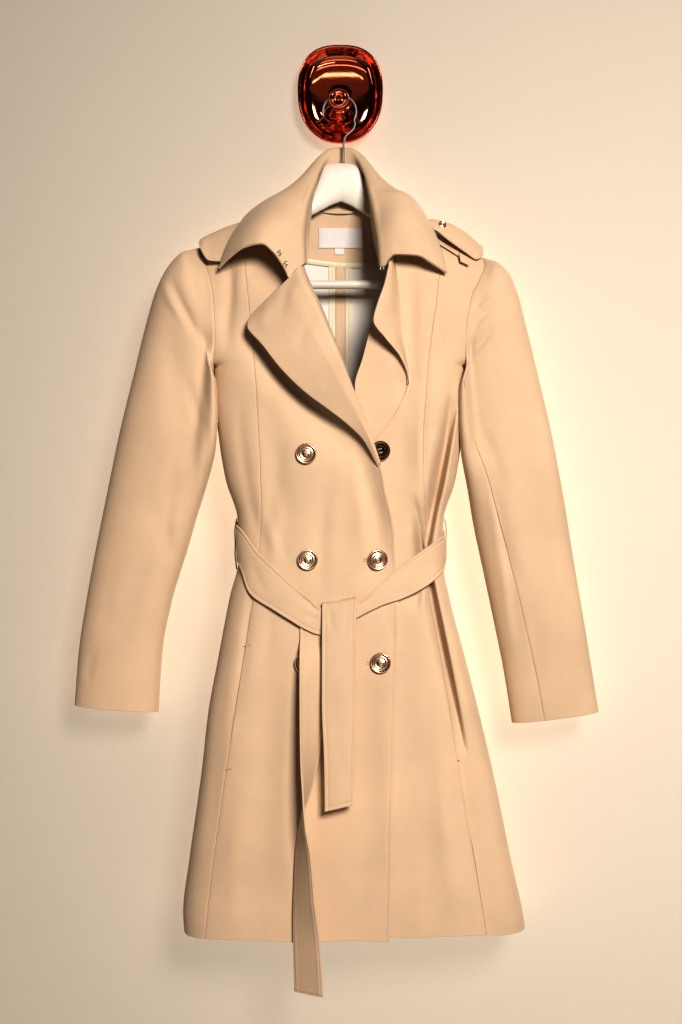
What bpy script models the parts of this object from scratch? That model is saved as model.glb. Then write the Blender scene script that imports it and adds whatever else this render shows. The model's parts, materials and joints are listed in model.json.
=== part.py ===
"""A belted double-breasted trench coat on a hanger, on a round wall hook.

Millimetres in the tables, metres in the meshes. The origin is the middle of the
hook's flat back, X runs to the viewer's right, Z up, and the coat faces -Y.
"right" and "left" in a piece's name are the wearer's: the wearer's right front is
the one on the viewer's left, and it laps over the other.
"""

import math

import bpy
import numpy as np

MM = 0.001
CLOTH = 1.8
DOUBLED = 2.6
BELT_CLOTH = 2.4
SEAM = 0.3
REST = 0.5
HEM_RIGHT = -1143.0
HEM_LEFT = -1138.0
NECK_TOP = -160.0
UNDERARM = -388.0
SHOULDER_TOP = {-1: -219.0, 1: -233.0}
ARMHOLE_CUT = 0.16
EDGE_ONLY = 5
ARMHOLE_ROUND = 0.7
LAP_DROP = 3.4
COVERED_BUTTON_Z = -500.0
COVERED_BUTTON_DROP = 5.4
LAP_START = -228.0
ASLANT_ABOVE = -225.0
LAP_FROM = 78.0
LAP_TO = 98.0

TAN = (0.66, 0.42, 0.23)
WHITE = (0.88, 0.86, 0.82)
COPPER = (0.80, 0.30, 0.15)
BRASS = (0.62, 0.42, 0.20)
STEEL = (0.62, 0.62, 0.63)


class Rows:
    """A table with named columns, read smoothly between its rows."""

    def __init__(self, columns, *rows):
        names = columns.split()
        ordered = sorted(rows)
        self.column = {}
        for place, name in enumerate(names):
            self.column[name] = np.array([row[place] for row in ordered], float)
        self.key = self.column[names[0]]
        self.slope = {name: slopes(self.key, self.column[name]) for name in names[1:]}

    def at(self, name, place):
        xs = self.key
        ys = self.column[name]
        low = int(np.clip(np.searchsorted(xs, place) - 1, 0, len(xs) - 2))
        step = xs[low + 1] - xs[low]
        t = min(max((place - xs[low]) / step, 0.0), 1.0)
        first, second = self.slope[name][low], self.slope[name][low + 1]
        rise = t * t * (3 - 2 * t)
        bend = t * (1 - t) ** 2 * step * first - t * t * (1 - t) * step * second
        return float(ys[low] + rise * (ys[low + 1] - ys[low]) + bend)


def slopes(xs, ys):
    """Slopes that keep a curve through the points from overshooting."""
    rise = np.diff(ys) / np.diff(xs)
    out = np.empty(len(ys))
    out[0], out[-1] = rise[0], rise[-1]
    for i in range(1, len(ys) - 1):
        before, after = rise[i - 1], rise[i]
        out[i] = 0 if before * after <= 0 else 2 * before * after / (before + after)
    return out


# The body's level sections: half widths to each side, the depth of the side seam,
# of the front's middle and of the back's middle, and how square the section is.
BODY = Rows(
    "z left right side front back square",
    (-160, 62, 62, -44, -58, -20, 1.5),
    (-180, 106, 98, -46, -74, -16, 1.5),
    (-200, 150, 133, -48, -88, -13, 1.55),
    (-219, 192, 167, -50, -99, -11, 1.6),
    (-233, 189, 192, -52, -104, -11, 1.75),
    (-243, 184, 195, -54, -107, -10, 1.9),
    (-268, 176, 186, -58, -113, -8, 2.2),
    (-293, 171, 174, -61, -117, -8, 2.4),
    (-347, 168, 166, -64, -122, -8, 2.6),
    (-388, 171, 167, -66, -125, -8, 2.6),
    (-430, 170, 167, -66, -126, -8, 2.5),
    (-483, 165, 163, -66, -126, -9, 2.5),
    (-538, 156, 155, -66, -125, -11, 2.5),
    (-592, 140, 139, -66, -124, -13, 2.5),
    (-646, 139, 138, -66, -125, -13, 2.5),
    (-694, 150, 146, -66, -128, -11, 2.5),
    (-779, 166, 168, -66, -133, -8, 2.5),
    (-850, 179, 186, -65, -136, -7, 2.5),
    (-930, 188, 205, -64, -138, -7, 2.5),
    (-1051, 205, 230, -62, -140, -7, 2.5),
    (-1118, 213, 245, -61, -141, -7, 2.5),
    (-1150, 211, 250, -61, -141, -7, 2.5),
)

# Where the front's long seams and its edges run, as X over Z.
LINES = Rows(
    "z seam_right seam_left edge_right edge_left",
    (-160, -50, 50, -44, 44),
    (-180, -88, 82, -47, 50),
    (-200, -118, 106, -50, 60),
    (-219, -132, 132, -50, 66),
    (-250, -129, 134, -50, 72),
    (-274, -126, 130, -41, 75),
    (-303, -123, 127, -28, 78),
    (-338, -119, 122, -14, 80),
    (-371, -116, 118, -1, 84),
    (-408, -113, 115, 12, 88),
    (-443, -111, 112, 25, 72),
    (-479, -109, 110, 38, 41),
    (-515, -107, 110, 51, 8),
    (-532, -107, 111, 55, -8),
    (-552, -106, 112, 58, -22),
    (-591, -107, 115, 67, -50),
    (-640, -110, 116, 72, -58),
    (-696, -117, 119, 75, -60),
    (-758, -126, 130, 74, -61),
    (-827, -137, 142, 72, -62),
    (-904, -149, 154, 70, -62),
    (-958, -157, 163, 68, -62),
    (-1053, -170, 179, 66, -62),
    (-1150, -181, 194, 64, -62),
)

# Soft troughs (depth > 0) and ridges (depth < 0) that run down the cloth.
FOLDS = {
    "front": (
        dict(top_x=124, top=-600, low_x=203, low=-1250, half=13, depth=15),
        dict(top_x=158, top=-330, low_x=121, low=-640, half=9, depth=13),
        dict(top_x=-150, top=-560, low_x=-176, low=-1080, half=13, depth=7),
        dict(top_x=-147, top=-215, low_x=-152, low=-370, half=9, depth=5),
        dict(top_x=-86, top=-640, low_x=-118, low=-1220, half=22, depth=5),
        dict(top_x=96, top=-700, low_x=122, low=-1240, half=20, depth=4),
        dict(top_x=96, top=-255, low_x=92, low=-420, half=11, depth=5),
        dict(top_x=-98, top=-430, low_x=-70, low=-640, half=16, depth=3.5),
    ),
    "back": (
        dict(top_x=-118, top=-560, low_x=-170, low=-1260, half=15, depth=-12),
        dict(top_x=121, top=-540, low_x=186, low=-1260, half=17, depth=-14),
        dict(top_x=-52, top=-600, low_x=-78, low=-1250, half=20, depth=-8),
        dict(top_x=60, top=-620, low_x=88, low=-1220, half=22, depth=-7),
        dict(top_x=-120, top=-250, low_x=-96, low=-600, half=16, depth=-7),
        dict(top_x=116, top=-250, low_x=100, low=-590, half=14, depth=-6),
    ),
}

# Each sleeve from the armhole to the cuff: its inner and outer edge as seen from
# the front, its middle's depth, half its thickness, and its front seam's angle.
SLEEVES = {
    -1: Rows(
        "step in_x in_z out_x out_z mid half seam",
        (0, 172, -388, 193, -219, -60, 45, 160),
        (1, 175, -394, 214, -226, -60, 46, 164),
        (2, 176, -404, 233, -244, -61, 46, 168),
        (3, 177, -424, 250, -276, -62, 45, 171),
        (4, 178, -452, 266, -330, -63, 43, 173),
        (5, 179, -492, 281, -392, -64, 41, 174),
        (6, 183, -538, 299, -466, -65, 39, 174),
        (7, 195, -585, 316, -548, -66, 36, 174),
        (8, 209, -633, 331, -622, -66, 33, 173),
        (9, 230, -702, 346, -702, -65, 30, 172),
        (10, 243, -768, 357, -772, -62, 27, 172),
        (11, 249, -853, 363, -844, -60, 24, 172),
    ),
    1: Rows(
        "step in_x in_z out_x out_z mid half seam",
        (0, 170, -388, 193, -233, -60, 45, 150),
        (1, 169.3, -400, 211, -240, -60, 46, 148),
        (2, 168.7, -412, 227, -254, -61, 46, 146),
        (3, 168.4, -430, 239, -280, -62, 45, 143),
        (4, 168, -458, 254, -337, -63, 43, 138),
        (5, 169, -500, 269, -400, -64, 41, 130),
        (6, 173, -548, 286, -474, -65, 39, 122),
        (7, 181, -604, 302, -560, -66, 36, 116),
        (8, 193, -660, 315, -640, -66, 33, 112),
        (9, 207, -726, 328, -716, -65, 30, 109),
        (10, 221, -794, 340, -786, -62, 27, 106),
        (11, 233, -868, 351, -853, -60, 24, 104),
    ),
}
# How far each sleeve's inner edge stands forward, where it lies against the front.
SLEEVE_AHEAD = {
    -1: Rows("step ahead", (0, 0), (1, 5), (2.5, 11), (4, 11), (6, 0), (11, 0)),
    1: Rows("step ahead", (0, 0), (1, 12), (2.5, 24), (4.2, 24), (6, 6), (7, 0), (11, 0)),
}
AHEAD_FROM = 0.5
SLEEVE_START = 1.3
BACK_SEAM = 255.0
SLEEVE_GAP = 0.55
SLEEVE_SQUARE = 2.3

SLEEVE_FOLDS = {
    -1: (
        dict(angle=72, top=-238, low=-330, turn=50, half=10, depth=7),
        dict(angle=96, top=-262, low=-380, turn=40, half=10, depth=6),
        dict(angle=60, top=-300, low=-520, turn=60, half=16, depth=4),
        dict(angle=118, top=-520, low=-760, turn=-30, half=18, depth=4),
        dict(angle=290, top=-300, low=-620, turn=-40, half=18, depth=4),
    ),
    1: (
        dict(angle=84, top=-250, low=-360, turn=46, half=10, depth=5),
        dict(angle=108, top=-285, low=-400, turn=26, half=9, depth=5),
        dict(angle=56, top=-420, low=-700, turn=24, half=18, depth=4),
        dict(angle=286, top=-320, low=-640, turn=-36, half=18, depth=4),
    ),
}

# The collar round the neck, from the wearer's right front end to the left one:
# its fold, the middle of its fall and its outer edge.
COLLAR = Rows(
    "step fold_x fold_y fold_z mid_x mid_y mid_z edge_x edge_y edge_z",
    (0, -50, -123, -242, -100, -139, -230, -163, -105, -257),
    (1, -51, -118, -215, -100, -130, -202, -153, -92, -225),
    (2, -48, -100, -176, -91, -92, -165, -138, -68, -190),
    (2.5, -43, -84, -153, -76, -72, -146, -118, -45, -167),
    (3, -36, -67, -131, -60, -51, -127, -94, -14, -172),
    (4, -21, -35, -92, -37, -26, -100, -58, -8, -169),
    (4.5, -12, -28, -82.5, -18, -18, -89, -30, -7, -166),
    (5, 0, -25, -81.5, 0, -16, -87, 0, -7, -164),
    (5.5, 13, -28, -82.5, 19, -18, -89, 30, -7, -166),
    (6, 22, -35, -92, 38, -26, -100, 56, -8, -169),
    (7, 36, -67, -131, 58, -51, -126, 91, -14, -173),
    (7.5, 40, -84, -153, 73, -71, -143, 106, -45, -174),
    (8, 44, -100, -176, 84, -94, -155, 118, -74, -188),
    (9, 50, -118, -218, 90, -128, -203, 133, -97, -228),
    (10, 57, -122, -248, 97, -128, -244, 141, -108, -264),
)
COLLAR_OFF = 4.0
COLLAR_OVER_STRAP = 8.5
STRAP_INNER_X = 100.0
NECKLINE = Rows(
    "step x y z",
    (0, -44, -110, -246),
    (1, -43, -100, -222),
    (2, -42, -80, -192),
    (2.5, -41, -69, -174),
    (3, -41, -60, -161),
    (3.25, -50, -54, -159.2),
    (3.5, -62, -45, -159.2),
    (4, -50, -31, -159.3),
    (5, 0, -20.5, -159.4),
    (6, 50, -31, -159.3),
    (6.5, 62, -45, -159.2),
    (6.75, 50, -54, -159.2),
    (7, 41, -60, -161),
    (7.5, 41, -69, -174),
    (8, 42, -82, -194),
    (9, 46, -104, -226),
    (10, 52, -110, -252),
)

# The wearer's right lapel, turned out over the front: its roll and outer edge.
LAPEL_RIGHT = Rows(
    "step roll_x roll_z out_x out_z rise",
    (0, -50, -254, -123, -325, 18),
    (1, -41, -276, -124, -338, 24),
    (2, -28, -303, -104, -363, 27),
    (3, -14, -338, -78, -396, 27),
    (4, -1, -371, -47, -426, 25),
    (5, 12, -408, -20, -446, 21),
    (6, 25, -443, 4, -464, 17),
    (7, 38, -479, 28, -487, 12),
    (8, 51, -515, 46, -519, 6.5),
)

# The wearer's left lapel stands forward and turns in; its facing lies behind it.
LAPEL_LEFT = Rows(
    "step fold_x fold_z free_x free_z stand",
    (0, 72, -254, 63, -254, 6),
    (1, 75, -278, 57, -280, 12),
    (2, 78, -305, 49, -306, 20),
    (3, 80, -332, 42, -332, 24),
    (4, 83, -360, 58, -352, 18),
    (5, 87, -386, 76, -376, 10),
    (6, 88, -404, 83, -396, 5),
)
FACING_LEFT = Rows(
    "step out_x out_z in_x in_z",
    (0, 68, -262, 62, -262),
    (1, 71, -300, 50, -300),
    (2, 76, -340, 38, -340),
    (3, 84, -376, 28, -378),
    (4, 87, -408, 18, -414),
    (5, 82, -434, 22, -446),
    (6, 62, -456, 24, -468),
    (7, 45, -474, 26, -484),
)

FACING_OUT = -2.6
FACING_UNDER = 2.9
FACING_CLEAR = 1.6

# The belt's upper and lower edge over X in front, and behind.
BELT_FRONT = Rows(
    "x top low lift",
    (-150, -594, -638, 3.0),
    (-138, -602, -654, 3.0),
    (-114, -632, -690, 3.6),
    (-81, -660, -710, 5.8),
    (-60, -677, -723, 7.0),
    (-43, -690, -734, 7.0),
    (-24, -706, -742, 6.4),
    (0, -704, -735, 6.4),
    (21, -698.5, -719, 6.4),
    (56, -672, -702, 5.0),
    (76, -656, -696, 3.8),
    (118, -627, -676, 3.0),
    (150, -598, -646, 3.0),
)
BELT_BACK = Rows(
    "x top low",
    (-150, -594, -638),
    (0, -588, -631),
    (150, -598, -646),
)
TAIL_SHORT = Rows(
    "step z_left z_right left right off",
    (0, -719, -716, -24, 19, 1.9),
    (1, -706, -700, -24, 19, 1.9),
    (2, -701, -693.5, -24.5, 20, 5.4),
    (3, -706, -699, -25, 21, 9.4),
    (4, -730, -724, -25, 20, 11.5),
    (5, -823, -823, -25, 20, 16.0),
    (6, -904, -904, -22, 17, 17.0),
    (7, -969, -960, -21, 16, 15.0),
)
TAIL_LONG = Rows(
    "step z middle turn off",
    (0, -729, -32, 0, 1.7),
    (1, -746, -32, 0, 1.8),
    (2, -775, -34, 22, 2.4),
    (3, -824, -38, 38, 3.5),
    (4, -902, -40.5, 52, 4),
    (5, -940, -44, 74, 4),
    (6, -972, -48, 95, 4),
    (7, -993, -49.5, 106, 4),
    (8, -1027, -49, 122, 4),
    (9, -1083, -48, 135, 4),
    (10, -1137, -45, 153, 5),
    (11, -1206, -42, 161, 6),
)
TAIL_WIDTH = 40.0

# The belt loops' way over the belt: level and distance from the coat's side.
LOOP_PATH = (
    (-582, 1.35), (-587, 3.3), (-596, 5.2), (-622, 5.4), (-648, 5.2), (-658, 3.3), (-663, 1.35),
)

EPAULETTES = {
    -1: Rows(
        "x back_y back_z ridge_y ridge_z front_y front_z",
        (-193, -46, -217, -54, -210, -66, -216),
        (-187, -38, -214, -54, -206, -88, -232),
        (-177, -34, -210, -54, -202, -92, -244),
        (-160, -32, -204, -54, -195, -92, -245),
        (-138, -32, -195, -54, -187, -88, -230),
        (-118, -32, -188, -52, -180, -82, -212),
    ),
    1: Rows(
        "x back_y back_z ridge_y ridge_z front_y front_z",
        (112, -26, -196, -50, -184, -74, -198),
        (124, -26, -200, -50, -186, -76, -204),
        (145, -26, -209, -50, -192, -78, -218),
        (168, -27, -220, -51, -202, -80, -232),
        (184, -32, -227, -53, -211, -78, -240),
        (193, -44, -231, -55, -220, -66, -232),
    ),
}

STRAP_OFF = 3.4
STRAP_LOOP_X = {-1: -168.0, 1: 170.0}
STRAP_BUTTON = (140.0, 0.67)

BUTTONS = Rows(
    "number x z radius thick under",
    (1, -46, -504, 13.5, 5, 0),
    (2, 54, -500, 13.5, 4.4, 7.6),
    (3, -44, -644, 13.5, 5, 0),
    (4, 48, -644, 13.5, 5, 0),
    (5, -48, -780, 13.5, 5, 0),
    (6, 52, -779, 13.5, 5, 0),
)

HANGER = Rows(
    "x top low mid half",
    (0, -99.5, -153, -38, 5.5),
    (15, -100.5, -159, -38, 5.5),
    (21.5, -103.5, -163, -38, 5.5),
    (25.5, -110, -165, -38, 5.5),
    (29.5, -120, -167, -38, 5.5),
    (34, -132, -170, -38, 5.5),
    (40, -148, -173, -38, 5.5),
    (46, -161, -177, -38, 5.5),
    (64, -172, -186, -39, 5.5),
    (90, -179.2, -203, -41, 6),
    (140, -203.5, -232, -45, 6.5),
    (168, -218.5, -262, -47, 7),
    (178, -225.5, -280, -48, 6.5),
)
HANGER_TILT = -5.0
BAR_Z = -269.0
BAR_RADIUS = 6.0
BAR_HALF = 163.9
WIRE = 1.8
WIRE_DEPTH = -34.0
LOOP_MIDDLE = (-2.0, -27.5)
LOOP_RADIUS = 23.0

DISH_WIDE = 59.5
DISH_TALL = 68.5
DISH_NARROW = 0.226
NARROW_LOW = 5
KNOB_MIDDLE = (-3.0, -12.0)
KNOB_HEAD = 14.0
KNOB_NECK = 5.5


def superellipse(angle, exponent):
    c, s = math.cos(angle), math.sin(angle)
    first = math.copysign(abs(c) ** (2 / exponent), c)
    return first, math.copysign(abs(s) ** (2 / exponent), s)


def side_of(x):
    return -1 if x < 0 else 1


def half_width(side, z):
    return BODY.at("left" if side < 0 else "right", z)


def armhole(side, z):
    """How far down the armhole a level is, from 0 to 1, or None."""
    top = SHOULDER_TOP[side]
    if not UNDERARM < z < top:
        return None
    return (top - z) / (top - UNDERARM)


def kept_share(side, z):
    """How much of the section's width a panel keeps: less where the armhole is cut."""
    share = armhole(side, z)
    if share is None:
        return 1.0
    return 1 - ARMHOLE_CUT * math.sin(math.pi * share) ** ARMHOLE_ROUND


def section_depth(side, z, ratio, face):
    """The depth of a level section at a share of its half width."""
    seam = BODY.at("side", z) + (SEAM if face == "back" else -SEAM)
    square = BODY.at("square", z) + (0.6 if face == "back" else 0.0)
    rise = (1 - min(ratio, 1.0) ** square) ** (1 / square)
    return seam + (BODY.at(face, z) - seam) * rise


def edge_depth(side, z, face):
    """The depth of a panel's outer edge: shoulder seam, armhole or side seam."""
    return section_depth(side, z, kept_share(side, z), face)


def fold_depth(x, z, face):
    total = 0.0
    for fold in FOLDS[face]:
        share = (fold["top"] - z) / (fold["top"] - fold["low"])
        if not 0 < share < 1:
            continue
        centre = fold["top_x"] + share * (fold["low_x"] - fold["top_x"])
        across = math.exp(-(((x - centre) / fold["half"]) ** 2))
        total += fold["depth"] * math.sin(math.pi * share) ** 0.7 * across
    return total


def surface(x, z, face):
    """The depth of the body's outer face, front or back, at a place seen from the front."""
    side = side_of(x)
    keep = kept_share(side, z)
    ratio = min(abs(x) / half_width(side, z), 1.0)
    ratio *= 1 - (1 - keep) * ratio**EDGE_ONLY
    calm = min(1.0, 8 * (1 - ratio)) if keep == 1.0 else 1.0
    return section_depth(side, z, ratio, face) + fold_depth(x, z, face) * calm


def front(x, z, off=0.0):
    return np.array((x, surface(x, z, "front") - off, z))


def clear_of_body(point, off):
    """Moves a point of an outer piece out of the body where it would sink in."""
    x, y, z = point
    side = side_of(x)
    if z >= NECK_TOP or abs(x) >= half_width(side, z) - 0.5:
        return point
    if y < BODY.at("side", z):
        return np.array((x, min(y, surface(x, z, "front") - off), z))
    return np.array((x, max(y, surface(x, z, "back") + off), z))


def normals(grid):
    """The unit normal at each point of a grid, on the side that faces -Y in front."""
    down = np.gradient(grid, axis=0)
    across = np.gradient(grid, axis=1)
    out = np.cross(down, across)
    return out / np.linalg.norm(out, axis=2, keepdims=True)


def material(name, colour, metal, rough):
    made = bpy.data.materials.new(name)
    made.use_nodes = True
    shader = made.node_tree.nodes["Principled BSDF"]
    shader.inputs["Base Color"].default_value = (*colour, 1)
    shader.inputs["Metallic"].default_value = metal
    shader.inputs["Roughness"].default_value = rough
    return made


def add(name, points, faces, colour, metal=0.0, rough=0.85):
    points = np.asarray(points, float)
    corners = np.array([(f[0], f[i], f[i + 1]) for f in faces for i in range(1, len(f) - 1)])
    if np.linalg.det(points[corners]).sum() < 0:
        faces = [tuple(reversed(face)) for face in faces]
    mesh = bpy.data.meshes.new(name)
    mesh.from_pydata((points * MM).tolist(), [], [tuple(map(int, f)) for f in faces])
    mesh.update()
    made = bpy.data.objects.new(name, mesh)
    mesh.materials.append(material(name, colour, metal, rough))
    bpy.context.scene.collection.objects.link(made)
    return made


def shell(name, grid, wall, colour, inward=1.0, **look):
    """A closed wall of cloth from a grid of points.

    inward is the share of the wall that goes behind the grid, and turn = -1 is for a
    grid whose columns run the other way round.
    """
    turn = look.pop("turn", 1)
    out = look.pop("out", None)
    grid = np.asarray(grid, float)
    if out is None:
        out = normals(grid) * turn
    outer = grid + out * wall * (1 - inward)
    inner = grid - out * wall * inward
    rows, columns = grid.shape[:2]
    points = np.concatenate([outer.reshape(-1, 3), inner.reshape(-1, 3)])
    back = rows * columns

    def at(row, column, layer=0):
        return row * columns + column + layer * back

    faces = []
    for r in range(rows - 1):
        for c in range(columns - 1):
            faces.append((at(r, c), at(r + 1, c), at(r + 1, c + 1), at(r, c + 1)))
            faces.append(
                (at(r, c, 1), at(r, c + 1, 1), at(r + 1, c + 1, 1), at(r + 1, c, 1))
            )
    for c in range(columns - 1):
        faces.append((at(0, c), at(0, c + 1), at(0, c + 1, 1), at(0, c, 1)))
        last = rows - 1
        faces.append((at(last, c + 1), at(last, c), at(last, c, 1), at(last, c + 1, 1)))
    for r in range(rows - 1):
        faces.append((at(r + 1, 0), at(r, 0), at(r, 0, 1), at(r + 1, 0, 1)))
        last = columns - 1
        faces.append((at(r, last), at(r + 1, last), at(r + 1, last, 1), at(r, last, 1)))
    return add(name, points, faces, colour, **look)


def rings(name, loops, colour, **look):
    """A closed body from closed loops of points, its two ends filled."""
    loops = np.asarray(loops, float)
    count, around = loops.shape[:2]
    points = np.concatenate([loops.reshape(-1, 3), [loops[0].mean(0)], [loops[-1].mean(0)]])
    faces = []
    for k in range(count - 1):
        for i in range(around):
            j = (i + 1) % around
            faces.append(
                (k * around + i, k * around + j, (k + 1) * around + j, (k + 1) * around + i)
            )
    first, last = count * around, count * around + 1
    for i in range(around):
        j = (i + 1) % around
        faces.append((j, i, first))
        faces.append(((count - 1) * around + i, (count - 1) * around + j, last))
    return add(name, points, faces, colour, **look)


def body_normal(x, z, face, drop):
    """The way out of the body, read a little inside the panel's edge."""
    side = side_of(x)
    step = 2.0

    def depth(a, b):
        wide = half_width(side, b)
        a = side * min(abs(a), wide)
        return surface(a, b, face) + (drop(a, b) if drop else 0.0)

    inner = x if abs(x) < half_width(side, z) - step else side * (half_width(side, z) - step)
    across = (depth(inner + step, z) - depth(inner - step, z)) / (2 * step)
    down = (depth(inner, z + step) - depth(inner, z - step)) / (2 * step)
    way = np.array((across, -1.0, down)) * (1 if face == "front" else -1)
    if inner != x and armhole(side, z) is None:
        way[1] = 0.0
    return way / np.linalg.norm(way)


def levels(*values):
    return [float(value) for value in values]


UPPER = {
    -1: levels(-160, -179, -199, -219, -226, -240, -262, -293, -326, -360, -388),
    1: levels(-160, -184, -208, -233, -240, -254, -274, -300, -330, -362, -388),
}
LOWER = levels(
    -410, -445, -480, -515, -545, -568, -584, -600, -620, -642, -664, -690,
    -730, -780, -835, -895, -960, -1030, -1095,
)


def body_panel(name, side, face, inner, outer, columns, low, drop=None):
    """A panel of the body between two lines, each a function of the level.

    With no outer line it ends at the shoulder seam, the armhole and the side seam.
    """
    heights = UPPER[side] + LOWER + [low]
    grid, ways = [], []
    for z in heights:
        x_from = inner(z)
        x_to = outer(z) if outer else side * half_width(side, z)
        row, way = [], []
        for k in range(columns + 1):
            share = k / columns
            eased = share if outer else math.sin(share * math.pi / 2)
            x = x_from + (x_to - x_from) * eased
            y = surface(x, z, face)
            row.append((x, y + (drop(x, z) if drop else 0.0), z))
            way.append(body_normal(x, z, face, drop))
        grid.append(row)
        ways.append(way)
    return shell(name, grid, CLOTH, TAN, out=np.array(ways))


def line(name, shift=0.0):
    """A line of the table, moved aside by a seam's gap, more where it runs aslant."""
    return lambda z: LINES.at(name, z) + shift * (2.5 if z > ASLANT_ABOVE else 1.0)


def lap(x, z):
    """The under front lies this much further in where the other front covers it."""
    share = min(max((LAP_TO - x) / (LAP_TO - LAP_FROM), 0.0), 1.0)
    near = math.exp(-(((z - COVERED_BUTTON_Z) / 34) ** 2))
    low = min(max((LAP_START - z) / 30, 0.0), 1.0)
    deep = (LAP_DROP + COVERED_BUTTON_DROP * near) * low
    return deep * share * share * (3 - 2 * share)


def body():
    half = SEAM / 2
    body_panel(
        "side_front_right", -1, "front", line("seam_right", -half), None, 6, HEM_RIGHT
    )
    body_panel(
        "front_right", -1, "front", line("seam_right", half), line("edge_right"), 10, HEM_RIGHT
    )
    body_panel(
        "side_front_left", 1, "front", line("seam_left", half), None, 6, HEM_LEFT
    )
    body_panel(
        "front_left", 1, "front", line("edge_left"), line("seam_left", -half), 8,
        HEM_LEFT, drop=lap,
    )
    for side, name in ((-1, "back_right"), (1, "back_left")):
        body_panel(
            name, side, "back", lambda z, s=side: s * half, None, 8, HEM_LEFT
        )


def sleeve_start(side, angle):
    """A point of the armhole, with the sleeve beside it."""
    top = SHOULDER_TOP[side]
    share = (1 - math.cos(angle)) / 2
    z = min(max(top + (UNDERARM - top) * share, UNDERARM), top)
    face = "front" if math.sin(angle) >= 0 else "back"
    x = side * (half_width(side, z) + SLEEVE_START)
    return np.array((x, edge_depth(side, z, face), z))


def sleeve_tube(side, step, angle):
    row = SLEEVES[side]
    inner = np.array((side * row.at("in_x", step), row.at("mid", step), row.at("in_z", step)))
    outer = np.array((side * row.at("out_x", step), row.at("mid", step), row.at("out_z", step)))
    centre, arm = (inner + outer) / 2, (outer - inner) / 2
    along, through = superellipse(angle, SLEEVE_SQUARE)
    point = centre + arm * along + np.array((0, -row.at("half", step) * through, 0))
    beside = min(max((-along - AHEAD_FROM) / (1 - AHEAD_FROM), 0.0), 1.0)
    inwards = (centre - point) / np.linalg.norm(centre - point)
    point = point + inwards * sleeve_fold(side, math.degrees(angle) % 360, point[2])
    point[1] -= SLEEVE_AHEAD[side].at("ahead", step) * beside * beside * (3 - 2 * beside)
    return point


def sleeve_point(side, step, angle):
    if step >= 1:
        return sleeve_tube(side, step, angle)
    start = sleeve_start(side, angle)
    return start + (sleeve_tube(side, 1, angle) - start) * step


def sleeve_normal(side, step, angle):
    turn, move = math.radians(2.5), 0.15
    before, after = max(step - move, 0.0), min(step + move, 11.0)
    around = sleeve_point(side, step, angle + turn) - sleeve_point(side, step, angle - turn)
    down = sleeve_point(side, after, angle) - sleeve_point(side, before, angle)
    way = np.cross(down, around) * -side
    return way / np.linalg.norm(way)


def sleeve_fold(side, angle, z):
    total = 0.0
    for fold in SLEEVE_FOLDS[side]:
        share = (fold["top"] - z) / (fold["top"] - fold["low"])
        if not 0 < share < 1:
            continue
        centre = fold["angle"] + fold["turn"] * share
        away = (angle - centre + 180) % 360 - 180
        total += fold["depth"] * math.sin(math.pi * share) * math.exp(-((away / fold["half"]) ** 2))
    return total


def sleeve(side, wearer):
    """A two-piece sleeve: the top piece goes round the outside, the under piece inside."""
    steps = (0, 0.5, 1, 1.6, 2.3, 3, 3.8, 4.6, 5.4, 6.3, 7.2, 8.1, 9, 10, 11)
    seam = SLEEVES[side]
    pieces = (
        ("sleeve_top_" + wearer, BACK_SEAM - 360 + SLEEVE_GAP, None, 11),
        ("sleeve_under_" + wearer, None, BACK_SEAM - SLEEVE_GAP, 6),
    )
    for name, first, last, columns in pieces:
        grid, ways = [], []
        for step in steps:
            low = first if first is not None else seam.at("seam", step) + SLEEVE_GAP
            high = last if last is not None else seam.at("seam", step) - SLEEVE_GAP
            angles = np.radians(np.linspace(low, high, columns + 1))
            grid.append([sleeve_point(side, step, angle) for angle in angles])
            ways.append([sleeve_normal(side, step, angle) for angle in angles])
        shell(name, grid, CLOTH, TAN, out=np.array(ways))


def through_three(first, middle, last, share):
    """A point on the smooth curve through three points, reached at 0, 1/2 and 1."""
    a = 2 * (share - 0.5) * (share - 1)
    b = -4 * share * (share - 1)
    c = 2 * share * (share - 0.5)
    return a * first + b * middle + c * last


def row_point(rows, prefix, step):
    return np.array([rows.at(f"{prefix}_{axis}", step) for axis in "xyz"])


def collar():
    steps = [0, 0.4, 0.8, 1.3, 1.8, 2.3, 2.8, 3.3, 3.8, 4.2, 4.6, 5,
             5.4, 5.8, 6.2, 6.7, 7.2, 7.7, 8.2, 8.7, 9.2, 9.6, 10]
    fall, stand = [], []
    for step in steps:
        fold = row_point(COLLAR, "fold", step)
        middle = row_point(COLLAR, "mid", step)
        edge = row_point(COLLAR, "edge", step)
        neck = np.array([NECKLINE.at(axis, step) for axis in "xyz"])
        row = []
        for share in (0, 0.1, 0.2, 0.34, 0.5, 0.66, 0.83, 1):
            point = through_three(fold, middle, edge, share)
            near_end = max(0.0, 1 - step / 1.0)
            point[2] -= 34 * near_end * math.exp(-(((share - 0.18) / 0.1) ** 2))
            point[1] -= 9 * near_end * math.exp(-(((share - 0.2) / 0.12) ** 2))
            off = COLLAR_OVER_STRAP if abs(point[0]) > STRAP_INNER_X else COLLAR_OFF
            row.append(clear_of_body(point, off))
        fall.append(row)
        inner = []
        for share in (0, 0.25, 0.5, 0.75, 1):
            point = fold + (neck - fold) * np.array((share, share**0.5, share))
            centre = np.array((0.0, -60.0, point[2]))
            inward = centre - point
            inward[2] = 0
            inward /= max(np.linalg.norm(inward), 1.0)
            point = point + inward * 1.8 * (1 - share)
            point[2] -= 2.4 * (1 - share)
            inner.append(point)
        stand.append(inner)
    shell("collar_fall", np.array(fall).transpose(1, 0, 2), DOUBLED, TAN, inward=0.5)
    shell("collar_stand", np.array(stand).transpose(1, 0, 2), DOUBLED, TAN, inward=0.5)


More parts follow.
